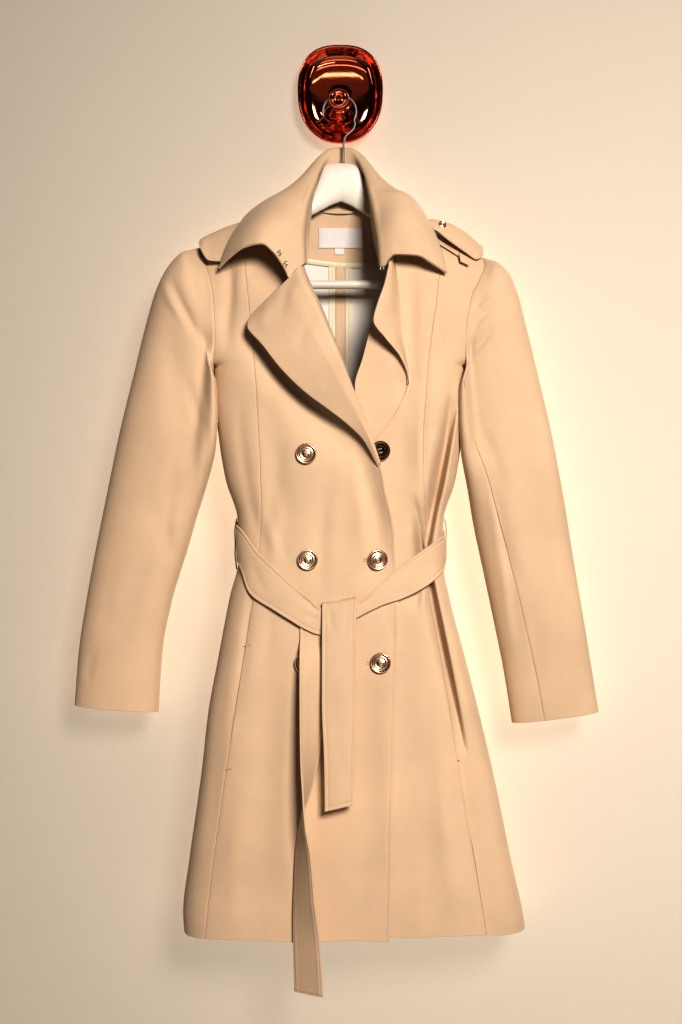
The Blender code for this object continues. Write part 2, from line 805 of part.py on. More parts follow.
def lapel_right():
    grid = []
    shares = (0, 0.04, 0.1, 0.2, 0.34, 0.55, 0.78, 1)
    for step in (0, 0.5, 1, 1.6, 2.3, 3, 3.7, 4.4, 5.1, 5.8, 6.5, 7.2, 8):
        row = []
        rise = LAPEL_RIGHT.at("rise", step)
        for share in shares:
            roll = np.array((LAPEL_RIGHT.at("roll_x", step), LAPEL_RIGHT.at("roll_z", step)))
            out = np.array((LAPEL_RIGHT.at("out_x", step), LAPEL_RIGHT.at("out_z", step)))
            x, z = roll + (out - roll) * share
            bulge = rise * 0.22 * math.sin(math.pi * min(share / 0.3, 1.0))
            away = (roll - out) / np.linalg.norm(roll - out)
            x, z = np.array((x, z)) + away * bulge
            lift = rise * (min(share / 0.24, 1.0) ** 0.55) * (1 - 0.52 * max(0, share - 0.3))
            row.append((x, surface(x, z, "front") - lift - 1.2, z))
        grid.append(row)
    shell("lapel_right", grid, DOUBLED, TAN, inward=1.0, turn=-1)


def lapel_left():
    grid = []
    for step in (0, 0.6, 1.2, 1.8, 2.4, 3, 3.6, 4.2, 4.8, 5.4, 6):
        row = []
        stand = LAPEL_LEFT.at("stand", step)
        for share in (0, 0.12, 0.3, 0.5, 0.75, 1):
            x = LAPEL_LEFT.at("fold_x", step) * (1 - share) + LAPEL_LEFT.at("free_x", step) * share
            z = LAPEL_LEFT.at("fold_z", step) * (1 - share) + LAPEL_LEFT.at("free_z", step) * share
            lift = 5.8 + stand * math.sin(share * math.pi * 0.5) ** 0.8
            row.append((x - 0.5, surface(x, z, "front") - lift, z))
        grid.append(row)
    shell("lapel_left", grid, DOUBLED, TAN, turn=-1)
    grid = []
    for step in (0, 0.8, 1.6, 2.4, 3.1, 3.7, 4.3, 4.9, 5.6, 6.3, 7):
        row = []
        for share in (0, 0.25, 0.5, 0.75, 1):
            x = FACING_LEFT.at("out_x", step) * (1 - share) + FACING_LEFT.at("in_x", step) * share
            z = FACING_LEFT.at("out_z", step) * (1 - share) + FACING_LEFT.at("in_z", step) * share
            low = min(max((step - FACING_UNDER) / 1.2, 0.0), 1.0)
            behind = lap(x, z) + CLOTH + FACING_CLEAR
            first = FACING_OUT + (behind - FACING_OUT) * low
            sink = first * (1 - share) + behind * share
            row.append((x, surface(x, z, "front") + sink, z))
        grid.append(row)
    shell("facing_left", grid, CLOTH, TAN, turn=-1)


def belt_strip(name, xs, face, rows_table, inner_lift):
    grid = []
    for share in (0, 0.33, 0.67, 1):
        row = []
        for x in xs:
            top, low = rows_table.at("top", x), rows_table.at("low", x)
            z = top + (low - top) * share
            side = side_of(x)
            wide = half_width(side, z)
            bulge = 0.8 * math.sin(math.pi * share)
            lift = (rows_table.at("lift", x) if inner_lift else 3.0) + bulge
            ratio = min(abs(x) / 145.0, 1.0)
            reach = side * wide * ratio * (1 + lift / wide)
            base = side * wide * min(ratio, 1.0)
            depth = surface(base, z, face)
            if face == "front":
                depth -= fold_depth(base, z, face) + lift
            else:
                depth += lift + 0.4
            if ratio == 1.0:
                depth = BODY.at("side", z) + (-0.2 if face == "front" else 0.2)
            row.append((reach, depth, z))
        grid.append(row)
    shell(name, grid, BELT_CLOTH, TAN, turn=1 if face == "front" else -1)


def belt():
    def spread(first, last, count):
        angles = np.linspace(first, last, count)
        return [145.0 * math.sin(angle) for angle in angles]

    quarter = math.pi / 2
    belt_strip("belt_front_right", spread(-quarter, -0.012, 14), "front", BELT_FRONT, True)
    belt_strip("belt_front_left", spread(0.012, quarter, 14), "front", BELT_FRONT, True)
    belt_strip("belt_back", spread(-quarter, quarter, 19), "back", BELT_BACK, False)


def belt_tails():
    grid = []
    for step in (0, 1, 1.5, 2, 2.5, 3, 3.5, 4, 4.5, 5, 5.5, 6, 6.5, 7):
        row = []
        for share in (0, 0.25, 0.5, 0.75, 1):
            left, right = TAIL_SHORT.at("left", step), TAIL_SHORT.at("right", step)
            x = left + (right - left) * share
            z = TAIL_SHORT.at("z_left", step) * (1 - share) + TAIL_SHORT.at("z_right", step) * share
            level = min(z, -706.0)
            bow = 1.2 * math.sin(math.pi * share) if step > 3 else 0.0
            off = TAIL_SHORT.at("off", step) + bow
            row.append((x, surface(x, level, "front") - off, z))
        grid.append(row)
    shell("belt_tail_short", grid, BELT_CLOTH, TAN, inward=0.5)
    grid = []
    for step in np.linspace(0, 11, 23):
        turn = math.radians(TAIL_LONG.at("turn", step))
        middle, z = TAIL_LONG.at("middle", step), TAIL_LONG.at("z", step)
        across, deep = TAIL_WIDTH / 2 * math.cos(turn), TAIL_WIDTH / 2 * math.sin(turn)
        level = surface(middle, max(z, HEM_RIGHT), "front") - TAIL_LONG.at("off", step) - deep
        row = []
        for share in (-1, -0.5, 0, 0.5, 1):
            bow = 2.0 * (1 - share**2) * math.sin(turn)
            row.append((middle + share * across - bow, level + share * deep, z))
        grid.append(row)
    shell("belt_tail_long", grid, BELT_CLOTH, TAN, inward=0.5)


def belt_loops():
    for side, name in ((-1, "belt_loop_right"), (1, "belt_loop_left")):
        grid = []
        for z, off in LOOP_PATH:
            row = []
            for across in (-4, 0, 4):
                x = side * (half_width(side, z) + off)
                row.append((x, BODY.at("side", z) - side * across, z))
            grid.append(row)
        shell(name, grid, 1.2, TAN, inward=0.5)


def epaulettes():
    for side, name in ((-1, "epaulette_right"), (1, "epaulette_left")):
        table = EPAULETTES[side]
        first, last = table.key[0], table.key[-1]
        grid = []
        for x in np.linspace(first, last, 10):
            row = []
            for share in (0, 0.2, 0.4, 0.55, 0.7, 0.85, 1):
                row.append(strap_point(side, x, share, 0.0))
            grid.append(row)
        shell(name, np.array(grid).transpose(1, 0, 2), DOUBLED, TAN, inward=0.5)


def strap_point(side, x, share, off):
    """A place on a shoulder strap: share runs from its back edge to its front edge."""
    table = EPAULETTES[side]
    ends = []
    for prefix in ("back", "ridge", "front"):
        ends.append(np.array((x, table.at(prefix + "_y", x), table.at(prefix + "_z", x))))
    point = clear_of_body(through_three(*ends, share), STRAP_OFF)
    return point + strap_normal(side, x, share) * off if off else point


def strap_normal(side, x, share):
    across = strap_point(side, x, share + 0.03, 0) - strap_point(side, x, share - 0.03, 0)
    along = strap_point(side, x + 3, share, 0) - strap_point(side, x - 3, share, 0)
    way = np.cross(along, across)
    return way / np.linalg.norm(way) * (1 if way[2] > 0 else -1)


def strap_loops():
    """The carrier near the sleeve head that holds each strap down."""
    for side, name in ((-1, "epaulette_loop_right"), (1, "epaulette_loop_left")):
        grid = []
        for x in (STRAP_LOOP_X[side] - 4.5, STRAP_LOOP_X[side], STRAP_LOOP_X[side] + 4.5):
            row = []
            for share in (0.02, 0.14, 0.28, 0.42, 0.56, 0.7, 0.84, 0.98):
                row.append(strap_point(side, x, share, DOUBLED / 2 + REST + 0.3))
            grid.append(row)
        shell(name, np.array(grid).transpose(1, 0, 2), 1.4, TAN, inward=0.0)


def disc(name, centre, axis, radius, thick, colour=BRASS, around=14):
    """A round rimmed button whose face looks along the axis."""
    axis = np.asarray(axis, float) / np.linalg.norm(axis)
    across = np.cross(axis, (0, 0, 1.0))
    across /= np.linalg.norm(across)
    up = np.cross(across, axis)
    profile = ((0.80, 0), (1, 0.25), (1, 0.75), (0.9, 1), (0.76, 0.98), (0.66, 0.66), (0.3, 0.62))
    loops = []
    for scale, height in profile:
        loop = []
        for k in range(around):
            angle = 2 * math.pi * k / around
            spot = across * math.cos(angle) + up * math.sin(angle)
            loop.append(np.asarray(centre) + spot * radius * scale + axis * thick * height)
        loops.append(loop)
    rings(name, loops, colour, metal=1.0, rough=0.3)


def buttons():
    for number in range(1, 7):
        x, z = BUTTONS.at("x", number), BUTTONS.at("z", number)
        under = BUTTONS.at("under", number)
        centre = front(x, z, REST + 0.3) + np.array((0, under, 0))
        near, beside = front(x, z + 8), front(x + 8, z)
        lean = (near[1] - front(x, z - 8)[1]) / 16
        side_lean = (beside[1] - front(x - 8, z)[1]) / 16
        tilt = np.array((side_lean, -1.0, lean))
        thick = BUTTONS.at("thick", number)
        disc(f"button_{number}", centre, tilt, BUTTONS.at("radius", number), thick)
    centre = strap_point(1, *STRAP_BUTTON, DOUBLED / 2 + REST)
    disc("epaulette_button_left", centre, strap_normal(1, *STRAP_BUTTON), 5.5, 3.0, around=12)


def inside():
    """What shows inside the neck: the facing, the hanging loop and a bare label."""
    grid = []
    for z, half in ((-168, 36), (-176, 46), (-190, 60), (-210, 68), (-228, 68), (-240, 66)):
        row = []
        for share in np.linspace(-1, 1, 13):
            x = half * share
            row.append((x, surface(x, z, "back") - CLOTH - REST, z))
        grid.append(row)
    shell("facing_back_neck", grid, 1.2, TAN, inward=0.0)
    for name, size, colour in (
        ("neck_label", (-31, 31, -186, -213), WHITE),
        ("neck_label_tab", (-9, 4, -214, -222), WHITE),
    ):
        left, right, top, low = size
        grid = []
        for z in (top, low):
            row = []
            for x in np.linspace(left, right, 6 if right - left > 20 else 3):
                row.append((x, surface(x, z, "back") - CLOTH - REST - 1.2 - REST, z))
            grid.append(row)
        shell(name, grid, 0.8, colour, inward=0.0)
    grid = []
    for z in (-171, -176):
        row = []
        for x in np.linspace(-17, 17, 7):
            drop = 3 * (1 - (x / 17) ** 2)
            row.append((x, surface(x, z, "back") - CLOTH - REST - 1.2 - REST - drop, z - drop))
        grid.append(row)
    shell("hanging_loop", grid, 1.2, TAN, inward=0.0)


def wall_hook():
    """A rounded dish that narrows downwards, its flat back on the wall, and a knob."""
    around = 32
    outline = ((0.78, 0), (0.9, -7), (0.99, -19), (1.0, -22.5), (0.965, -23.6), (0.935, -21.5),
               (0.86, -13), (0.72, -7.6), (0.5, -5.4))
    stem = ((KNOB_NECK + 4, -5.2), (KNOB_NECK, -9), (KNOB_NECK, -36.5), (KNOB_HEAD - 4, -37.5),
            (KNOB_HEAD, -40.5), (KNOB_HEAD - 0.6, -44), (KNOB_HEAD - 5, -47), (4, -48))
    loops = []
    for scale, depth in outline:
        loop = []
        for k in range(around):
            wide, tall = superellipse(2 * math.pi * k / around, 2.6)
            narrow = 1 - DISH_NARROW * ((1 - tall) / 2) ** NARROW_LOW
            x = -1 + DISH_WIDE * wide * narrow * scale
            loop.append((x, depth, DISH_TALL * tall * scale))
        loops.append(loop)
    for radius, depth in stem:
        loop = []
        for k in range(around):
            angle = 2 * math.pi * k / around
            x = KNOB_MIDDLE[0] + radius * math.cos(angle)
            loop.append((x, depth, KNOB_MIDDLE[1] + radius * math.sin(angle)))
        loops.append(loop)
    rings("wall_hook", loops, COPPER, metal=1.0, rough=0.08)


def hanger():
    places = [0, 8, 16, 22, 26, 30, 36, 42, 48, 64, 90, 115, 140, 168, 178]
    places = [-x for x in reversed(places[1:])] + places
    loops = []
    for x in places:
        size = abs(x)
        top, low = HANGER.at("top", size), HANGER.at("low", size)
        tilt = HANGER_TILT * x / 178
        centre, half = (top + low) / 2 + tilt, (top - low) / 2
        loop = []
        for k in range(12):
            a, b = superellipse(2 * math.pi * k / 12, 2.6)
            loop.append((x, HANGER.at("mid", size) - HANGER.at("half", size) * a, centre + half * b))
        loops.append(loop)
    rings("hanger", loops, WHITE, rough=0.45)
    bar = []
    for x in (-BAR_HALF, BAR_HALF):
        loop = []
        for k in range(14):
            angle = 2 * math.pi * k / 14
            y = -47 + BAR_RADIUS * math.cos(angle)
            loop.append((x, y, BAR_Z + BAR_RADIUS * math.sin(angle)))
        bar.append(loop)
    rings("hanger_bar", bar, WHITE, rough=0.45)
    path = []
    for angle in np.radians(np.linspace(196, -28, 17)):
        x = LOOP_MIDDLE[0] + LOOP_RADIUS * math.cos(angle)
        path.append((x, WIRE_DEPTH, LOOP_MIDDLE[1] + LOOP_RADIUS * math.sin(angle)))
    path += [(19.2, WIRE_DEPTH, -45), (17, WIRE_DEPTH, -51.5), (12, WIRE_DEPTH - 0.4, -57),
             (6.8, WIRE_DEPTH - 1, -61.5), (4.4, WIRE_DEPTH - 1.6, -67), (3.6, WIRE_DEPTH - 2.6, -75),
             (3.5, WIRE_DEPTH - 4, -86), (3.5, WIRE_DEPTH - 4, -99)]
    tube("hanger_hook", path, WIRE, STEEL, metal=1.0, rough=0.25)


def tube(name, path, radius, colour, **look):
    """A round bar along a path that stays in a plane facing the viewer."""
    path = np.asarray(path, float)
    along = np.gradient(path, axis=0)
    loops = []
    for point, way in zip(path, along):
        way = way / np.linalg.norm(way)
        first = np.array((0, -1.0, 0))
        second = np.cross(way, first)
        loop = []
        for k in range(10):
            angle = 2 * math.pi * k / 10
            loop.append(point + radius * (first * math.cos(angle) + second * math.sin(angle)))
        loops.append(loop)
    rings(name, loops, colour, **look)


def main():
    for old in list(bpy.data.objects):
        bpy.data.objects.remove(old)
    body()
    sleeve(-1, "right")
    sleeve(1, "left")
    collar()
    lapel_right()
    lapel_left()
    belt()
    belt_tails()
    belt_loops()
    epaulettes()
    strap_loops()
    buttons()
    inside()
    wall_hook()
    hanger()


main()
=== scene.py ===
"""Looks of a belted double-breasted trench coat on a hanger, on a round wall hook.

Tables are in millimetres in the part's own frame and meshes in metres: X runs to the
viewer's right, Z up, the coat faces -Y and the wall is at Y = 0. Each cloth piece is a
thin wall on the form of the solid that it stands for, with finer folds, seams, edges
and stitches. "right" and "left" in a piece's name are the wearer's.
"""

import json
import math
from collections import namedtuple

import bpy
import numpy as np
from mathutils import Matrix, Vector

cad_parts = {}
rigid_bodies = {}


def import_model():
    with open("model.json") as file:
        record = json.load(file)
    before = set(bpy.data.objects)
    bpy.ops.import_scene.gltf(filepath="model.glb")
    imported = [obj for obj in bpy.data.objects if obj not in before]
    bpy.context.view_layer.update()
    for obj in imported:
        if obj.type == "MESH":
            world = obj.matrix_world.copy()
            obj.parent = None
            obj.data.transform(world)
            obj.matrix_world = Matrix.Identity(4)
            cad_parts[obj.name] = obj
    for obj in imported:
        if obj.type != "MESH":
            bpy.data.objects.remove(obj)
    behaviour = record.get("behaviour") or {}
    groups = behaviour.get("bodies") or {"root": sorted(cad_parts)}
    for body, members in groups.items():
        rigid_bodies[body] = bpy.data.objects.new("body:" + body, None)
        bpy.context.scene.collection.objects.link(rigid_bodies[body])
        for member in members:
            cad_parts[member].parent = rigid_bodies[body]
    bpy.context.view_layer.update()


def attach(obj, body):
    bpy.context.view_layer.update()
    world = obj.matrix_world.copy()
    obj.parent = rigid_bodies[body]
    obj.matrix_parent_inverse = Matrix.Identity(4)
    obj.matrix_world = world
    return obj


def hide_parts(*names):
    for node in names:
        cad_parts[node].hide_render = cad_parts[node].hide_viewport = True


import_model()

MM = 0.001
CLOTH = 1.8
DOUBLED = 2.6
BELT_CLOTH = 2.4
SEAM = 0.3
REST = 0.5
HEM_RIGHT = -1143.0
HEM_LEFT = -1138.0
NECK_TOP = -160.0
UNDERARM = -388.0
SHOULDER_TOP = {-1: -219.0, 1: -233.0}
ARMHOLE_CUT = 0.16
EDGE_ONLY = 5
ARMHOLE_ROUND = 0.7
LAP_DROP = 3.4
COVERED_BUTTON_Z = -500.0
COVERED_BUTTON_DROP = 5.4
LAP_START = -228.0
LAP_FROM = 78.0
LAP_TO = 108.0


class Rows:
    """A table with named columns, read smoothly between its rows."""

    def __init__(self, columns, *rows):
        names = columns.split()
        ordered = sorted(rows)
        self.column = {}
        for place, name in enumerate(names):
            self.column[name] = np.array([row[place] for row in ordered], float)
        self.key = self.column[names[0]]
        self.slope = {name: slopes(self.key, self.column[name]) for name in names[1:]}

    def at(self, name, place):
        xs, ys = self.key, self.column[name]
        place = np.asarray(place, float)
        low = np.clip(np.searchsorted(xs, place) - 1, 0, len(xs) - 2)
        step = xs[low + 1] - xs[low]
        t = np.clip((place - xs[low]) / step, 0.0, 1.0)
        first, second = self.slope[name][low], self.slope[name][low + 1]
        rise = t * t * (3 - 2 * t)
        bend = t * (1 - t) ** 2 * step * first - t * t * (1 - t) * step * second
        return ys[low] + rise * (ys[low + 1] - ys[low]) + bend

    def point(self, prefix, place):
        """The point whose X, Y and Z are in the columns with this prefix."""
        return stacked(*(self.at(prefix + axis, place) for axis in "xyz"))

    def between(self, first, last, place, share):
        """From one column's value to another's as the share goes from 0 to 1."""
        return self.at(first, place) * (1 - share) + self.at(last, place) * share


def slopes(xs, ys):
    """Slopes that keep a curve through the points from overshooting."""
    rise = np.diff(ys) / np.diff(xs)
    out = np.empty(len(ys))
    out[0], out[-1] = rise[0], rise[-1]
    for i in range(1, len(ys) - 1):
        before, after = rise[i - 1], rise[i]
        out[i] = 0 if before * after <= 0 else 2 * before * after / (before + after)
    return out


# The body's level sections: half widths to each side, the depth of the side seam,
# of the front's middle and of the back's middle, and how square the section is.
BODY = Rows(
    "z left right side front back square",
    (-160, 62, 62, -44, -58, -20, 1.5),
    (-180, 106, 98, -46, -74, -16, 1.5),
    (-200, 150, 133, -48, -88, -13, 1.55),
    (-219, 192, 167, -50, -99, -11, 1.6),
    (-233, 189, 192, -52, -104, -11, 1.75),
    (-243, 184, 195, -54, -107, -10, 1.9),
    (-268, 176, 186, -58, -113, -8, 2.5),
    (-293, 171, 174, -61, -117, -8, 2.8),
    (-347, 168, 166, -64, -122, -8, 3.3),
    (-388, 171, 167, -66, -125, -8, 3.5),
    (-430, 170, 167, -66, -126, -8, 3.5),
    (-483, 165, 163, -66, -126, -9, 3.4),
    (-538, 156, 155, -66, -125, -11, 3.2),
    (-592, 140, 139, -66, -124, -13, 3.1),
    (-646, 139, 138, -66, -125, -13, 3.1),
    (-694, 150, 146, -66, -128, -11, 3.4),
    (-779, 166, 168, -66, -133, -8, 3.9),
    (-850, 179, 186, -65, -136, -7, 3.9),
    (-930, 188, 205, -64, -138, -7, 3.9),
    (-1051, 205, 230, -62, -140, -7, 3.9),
    (-1118, 213, 245, -61, -141, -7, 3.9),
    (-1150, 211, 250, -61, -141, -7, 3.9),
)

# Where the front's long seams and its edges run, as X over Z.
LINES = Rows(
    "z seam_right seam_left edge_right edge_left",
    (-160, -50, 50, -44, 44),
    (-180, -88, 82, -47, 50),
    (-200, -118, 106, -50, 60),
    (-219, -132, 132, -50, 66),
    (-250, -129, 134, -50, 72),
    (-274, -126, 130, -41, 75),
    (-303, -123, 127, -28, 78),
    (-338, -119, 122, -14, 80),
    (-371, -116, 118, -1, 84),
    (-408, -113, 115, 12, 88),
    (-443, -111, 112, 25, 76),
    (-479, -109, 110, 38, 49),
    (-515, -107, 110, 51, 13),
    (-532, -107, 111, 55, -8),
    (-552, -106, 112, 58, -22),
    (-591, -107, 115, 67, -50),
    (-640, -110, 116, 72, -58),
    (-696, -117, 119, 75, -60),
    (-758, -126, 130, 74, -61),
    (-827, -137, 142, 72, -62),
    (-904, -149, 154, 70, -62),
    (-958, -157, 163, 68, -62),
    (-1053, -170, 179, 66, -62),
    (-1150, -181, 194, 64, -62),
)

# Soft troughs (depth > 0) and ridges (depth < 0) that run down the cloth, each with its
# half width to the viewer's left and right.
Fold = namedtuple("Fold", "top_x top low_x low half right depth")
FOLDS = {
    "front": (
        (97, -560, 164, -900, 9, 3.5, 25),
        (140, -760, 198, -1200, 6, 22, 5),
        (155, -428, 99, -710, 13, 3.5, 27),
        (-150, -560, -176, -1080, 13, 13, 2),
        (-147, -215, -152, -370, 9, 9, 5),
        (-86, -640, -118, -1220, 22, 22, 2),
        (96, -700, 122, -1240, 20, 20, 2),
        (96, -255, 92, -420, 11, 11, 5),
        (-98, -430, -70, -640, 16, 16, 3.5),
    ),
    "back": (
        (-118, -560, -170, -1260, 15, 15, -12),
        (121, -540, 186, -1260, 17, 17, -14),
        (-52, -600, -78, -1250, 20, 20, -8),
        (60, -620, 88, -1220, 22, 22, -7),
        (-120, -250, -96, -600, 16, 16, -7),
        (116, -250, 100, -590, 14, 14, -6),
    ),
}

# Each sleeve from the armhole to the cuff: its inner and outer edge as seen from
# the front, its middle's depth, half its thickness, and its front seam's angle.
SLEEVES = {
    -1: Rows(
        "step in_x in_z out_x out_z mid half seam",
        (0, 172, -388, 193, -219, -60, 45, 160),
        (1, 172, -394, 214, -226, -60, 46, 164),
        (2, 167, -404, 233, -244, -61, 46, 168),
        (3, 165, -424, 250, -276, -62, 45, 171),
        (4, 164.5, -452, 266, -330, -63, 43, 173),
        (5, 168, -492, 281, -392, -64, 41, 174),
        (6, 180, -538, 299, -466, -65, 39, 174),
        (7, 195, -585, 316, -548, -66, 36, 174),
        (8, 209, -633, 331, -622, -66, 33, 173),
        (9, 230, -702, 346, -702, -65, 30, 172),
        (10, 243, -768, 357, -772, -62, 27, 172),
        (11, 249, -853, 363, -844, -60, 24, 172),
    ),
    1: Rows(
        "step in_x in_z out_x out_z mid half seam",
        (0, 170, -388, 193, -233, -60, 45, 150),
        (1, 163, -400, 211, -240, -60, 46, 148),
        (2, 158, -412, 227, -254, -61, 46, 146),
        (3, 156.5, -430, 239, -280, -62, 45, 143),
        (4, 157, -458, 254, -337, -63, 43, 138),
        (5, 161, -500, 269, -400, -64, 41, 130),
        (6, 171, -548, 286, -474, -65, 39, 122),
        (7, 181, -604, 302, -560, -66, 36, 116),
        (8, 193, -660, 315, -640, -66, 33, 112),
        (9, 207, -726, 328, -716, -65, 30, 109),
        (10, 221, -794, 340, -786, -62, 27, 106),
        (11, 233, -868, 351, -853, -60, 24, 104),
    ),
}
# How far each sleeve's inner edge stands forward, where it lies against the front.
SLEEVE_AHEAD = {
    -1: Rows("step ahead", (0, 0), (1, 24), (2.5, 38), (4.4, 36), (6, 8), (7, 0), (11, 0)),
    1: Rows("step ahead", (0, 0), (1, 26), (2.5, 35), (4.4, 34), (6, 8), (7, 0), (11, 0)),
}
AHEAD_FROM = 0.5
SLEEVE_START = 0.35
SLEEVE_TUCK = (1.4, 1.1)
TUCK_REACH = 0.12
BACK_SEAM = 255.0
SLEEVE_SQUARE = 2.3

SleeveFold = namedtuple("SleeveFold", "angle top low turn half depth")
SLEEVE_FOLDS = {
    -1: (
        (72, -238, -330, 50, 10, 7),
        (96, -262, -380, 40, 10, 6),
        (60, -300, -520, 60, 16, 4),
        (118, -520, -760, -30, 18, 4),
        (290, -300, -620, -40, 18, 4),
    ),
    1: (
        (84, -250, -360, 46, 10, 5),
        (108, -285, -400, 26, 9, 5),
        (56, -420, -700, 24, 18, 4),
        (286, -320, -640, -36, 18, 4),
    ),
}

# The collar round the neck, from the wearer's right front end to the left one:
# its fold, the middle of its fall and its outer edge.
COLLAR = Rows(
    "step fold_x fold_y fold_z mid_x mid_y mid_z edge_x edge_y edge_z",
    (0, -50, -123, -242, -100, -139, -230, -163, -105, -257),
    (1, -51, -118, -215, -100, -130, -202, -153, -92, -225),
    (2, -48, -100, -176, -91, -92, -165, -138, -68, -190),
    (2.5, -43, -84, -153, -76, -72, -146, -118, -45, -167),
    (3, -36, -67, -131, -60, -51, -127, -94, -14, -172),
    (4, -21, -35, -92, -37, -26, -100, -58, -8, -169),
    (4.5, -12, -28, -82.5, -18, -18, -89, -30, -7, -166),
    (5, 0, -25, -81.5, 0, -16, -87, 0, -7, -164),
    (5.5, 13, -28, -82.5, 19, -18, -89, 30, -7, -166),
    (6, 22, -35, -92, 38, -26, -100, 56, -8, -169),
    (7, 36, -67, -131, 58, -51, -126, 91, -14, -173),
    (7.5, 40, -84, -153, 73, -71, -143, 106, -45, -174),
    (8, 44, -100, -176, 84, -94, -155, 118, -74, -188),
    (9, 50, -118, -218, 90, -128, -203, 133, -97, -228),
    (10, 57, -122, -248, 97, -128, -244, 141, -108, -264),
)
# The edges of the collar's two front ends, over the share from its fold outwards.
COLLAR_END_RIGHT = Rows(
    "share x y z",
    (0, -49, -122, -254),
    (0.12, -58, -128.5, -265),
    (0.235, -66.5, -131.5, -275.5),
    (0.25, -68, -132, -275.5),
    (0.30, -73, -134.5, -265),
    (0.42, -88, -141, -243),
    (0.55, -104, -142, -231),
    (0.72, -126, -135, -234),
    (0.88, -147, -120, -245),
    (1, -163, -105, -257),
)
COLLAR_END_LEFT = Rows(
    "share x y z",
    (0, 53, -121, -258),
    (0.06, 57, -124, -258),
    (0.12, 62, -126, -250),
    (0.2, 71, -128.5, -243),
    (0.5, 100, -130, -244.5),
    (0.75, 121, -121, -254),
    (1, 141, -108, -264),
)
STAND_TOP = 0.14
FALL_TOP = 0.07
COLLAR_OFF = 4.0
COLLAR_OVER_STRAP = 8.5
STRAP_INNER_X = 100.0
NECKLINE = Rows(
    "step x y z",
    (0, -44, -110, -246),
    (1, -43, -100, -222),
    (2, -42, -80, -192),
    (2.5, -41, -69, -174),
    (3, -41, -60, -161),
    (3.25, -50, -54, -159.2),
    (3.5, -62, -45, -159.2),
    (4, -50, -31, -159.3),
    (5, 0, -20.5, -159.4),
    (6, 50, -31, -159.3),
    (6.5, 62, -45, -159.2),
    (6.75, 50, -54, -159.2),
    (7, 41, -60, -161),
    (7.5, 41, -69, -174),
    (8, 42, -82, -194),
    (9, 46, -104, -226),
    (10, 52, -110, -252),
)

# The wearer's right lapel, turned out over the front: its roll and outer edge.
LAPEL_RIGHT = Rows(
    "step roll_x roll_z out_x out_z rise",
    (0, -50, -254, -123, -325, 20),
    (1, -41, -276, -124, -338, 28),
    (2, -28, -303, -104, -363, 33),
    (3, -14, -338, -78, -396, 33),
    (4, -1, -371, -47, -426, 31),
    (5, 12, -408, -20, -446, 26),
    (6, 25, -443, 4, -464, 20),
    (7, 38, -479, 28, -487, 14),
    (8, 52, -518, 48, -523, 8),
)

# The wearer's left lapel stands forward and turns in; its facing lies behind it.
LAPEL_LEFT = Rows(
    "step fold_x fold_z free_x free_z stand",
    (0, 72, -254, 63, -254, 6),
    (1, 75, -278, 57, -280, 12),
    (2, 78, -305, 48, -306, 19),
    (3, 80, -330, 42, -331, 22),
    (4, 84, -355, 58, -354, 17),
    (5, 88, -378, 77, -376, 9),
    (6, 91, -398, 87, -397, 3),
    (7, 91, -412, 90, -412, 0),
)
FACING_LEFT = Rows(
    "step out_x out_z in_x in_z",
    (0, 68, -262, 62, -262),
    (1, 71, -300, 50, -300),
    (2, 76, -340, 38, -340),
    (3, 84, -376, 28, -378),
    (4, 87, -408, 18, -414),
    (5, 82, -434, 22, -446),
    (6, 66, -456, 24, -468),
    (7, 52, -478, 24, -490),
    (8, 32, -506, 18, -512),
)

FACING_OUT = -2.6
FACING_UNDER = 2.9
FACING_CLEAR = 0.3
FACING_REACH = 5.5
UNDER_COLLAR = 13.0
LAPEL_LEFT_LIFT = (-7.0, 4.2)

# The belt's upper and lower edge over X in front, and behind.
BELT_FRONT = Rows(
    "x top low lift",
    (-150, -594, -638, 3.0),
    (-138, -602, -654, 3.0),
    (-114, -632, -690, 3.6),
    (-81, -660, -710, 5.8),
    (-60, -677, -723, 7.0),
    (-43, -690, -734, 7.0),
    (-24, -706, -742, 6.4),
    (0, -704, -735, 6.4),
    (21, -698.5, -719, 6.4),
    (56, -672, -702, 5.0),
    (76, -656, -696, 3.8),
    (118, -627, -676, 3.0),
    (150, -607, -653, 3.0),
)
BELT_BACK = Rows(
    "x top low",
    (-150, -594, -638),
    (0, -588, -631),
    (150, -607, -653),
)
TAIL_SHORT = Rows(
    "step z_left z_right left right off",
    (0, -719, -716, -24, 19, 1.9),
    (1, -706, -700, -24, 19, 1.9),
    (2, -701, -693.5, -24.5, 20, 5.4),
    (3, -706, -699, -25, 21, 9.4),
    (4, -730, -724, -25, 20, 13.0),
    (5, -823, -823, -25, 20, 21.0),
    (6, -904, -904, -22, 17, 24.0),
    (7, -969, -960, -21, 16, 22.0),
)
TAIL_LONG = Rows(
    "step z middle turn off",
    (0, -729, -32, 0, 1.7),
    (1, -746, -32, 0, 1.8),
    (2, -775, -34, 22, 2.4),
    (3, -824, -37, 40, 3.0),
    (4, -902, -40.5, 58, 3.5),
    (5, -940, -44, 76, 4),
    (6, -972, -48, 93, 4),
    (7, -993, -49.5, 104, 4),
    (8, -1027, -49, 119, 4),
    (9, -1083, -48, 130, 4),
    (10, -1137, -45, 143, 5),
    (11, -1206, -42, 149, 6),
)
TAIL_WIDTH = 44.0

# The belt loops' way over the belt: level and distance from the coat's side.
LOOP_PATH = (
    (-590, 1.35), (-594, 2.8), (-602, 4.4), (-622, 4.6), (-646, 4.4), (-654, 2.8), (-659, 1.35),
)

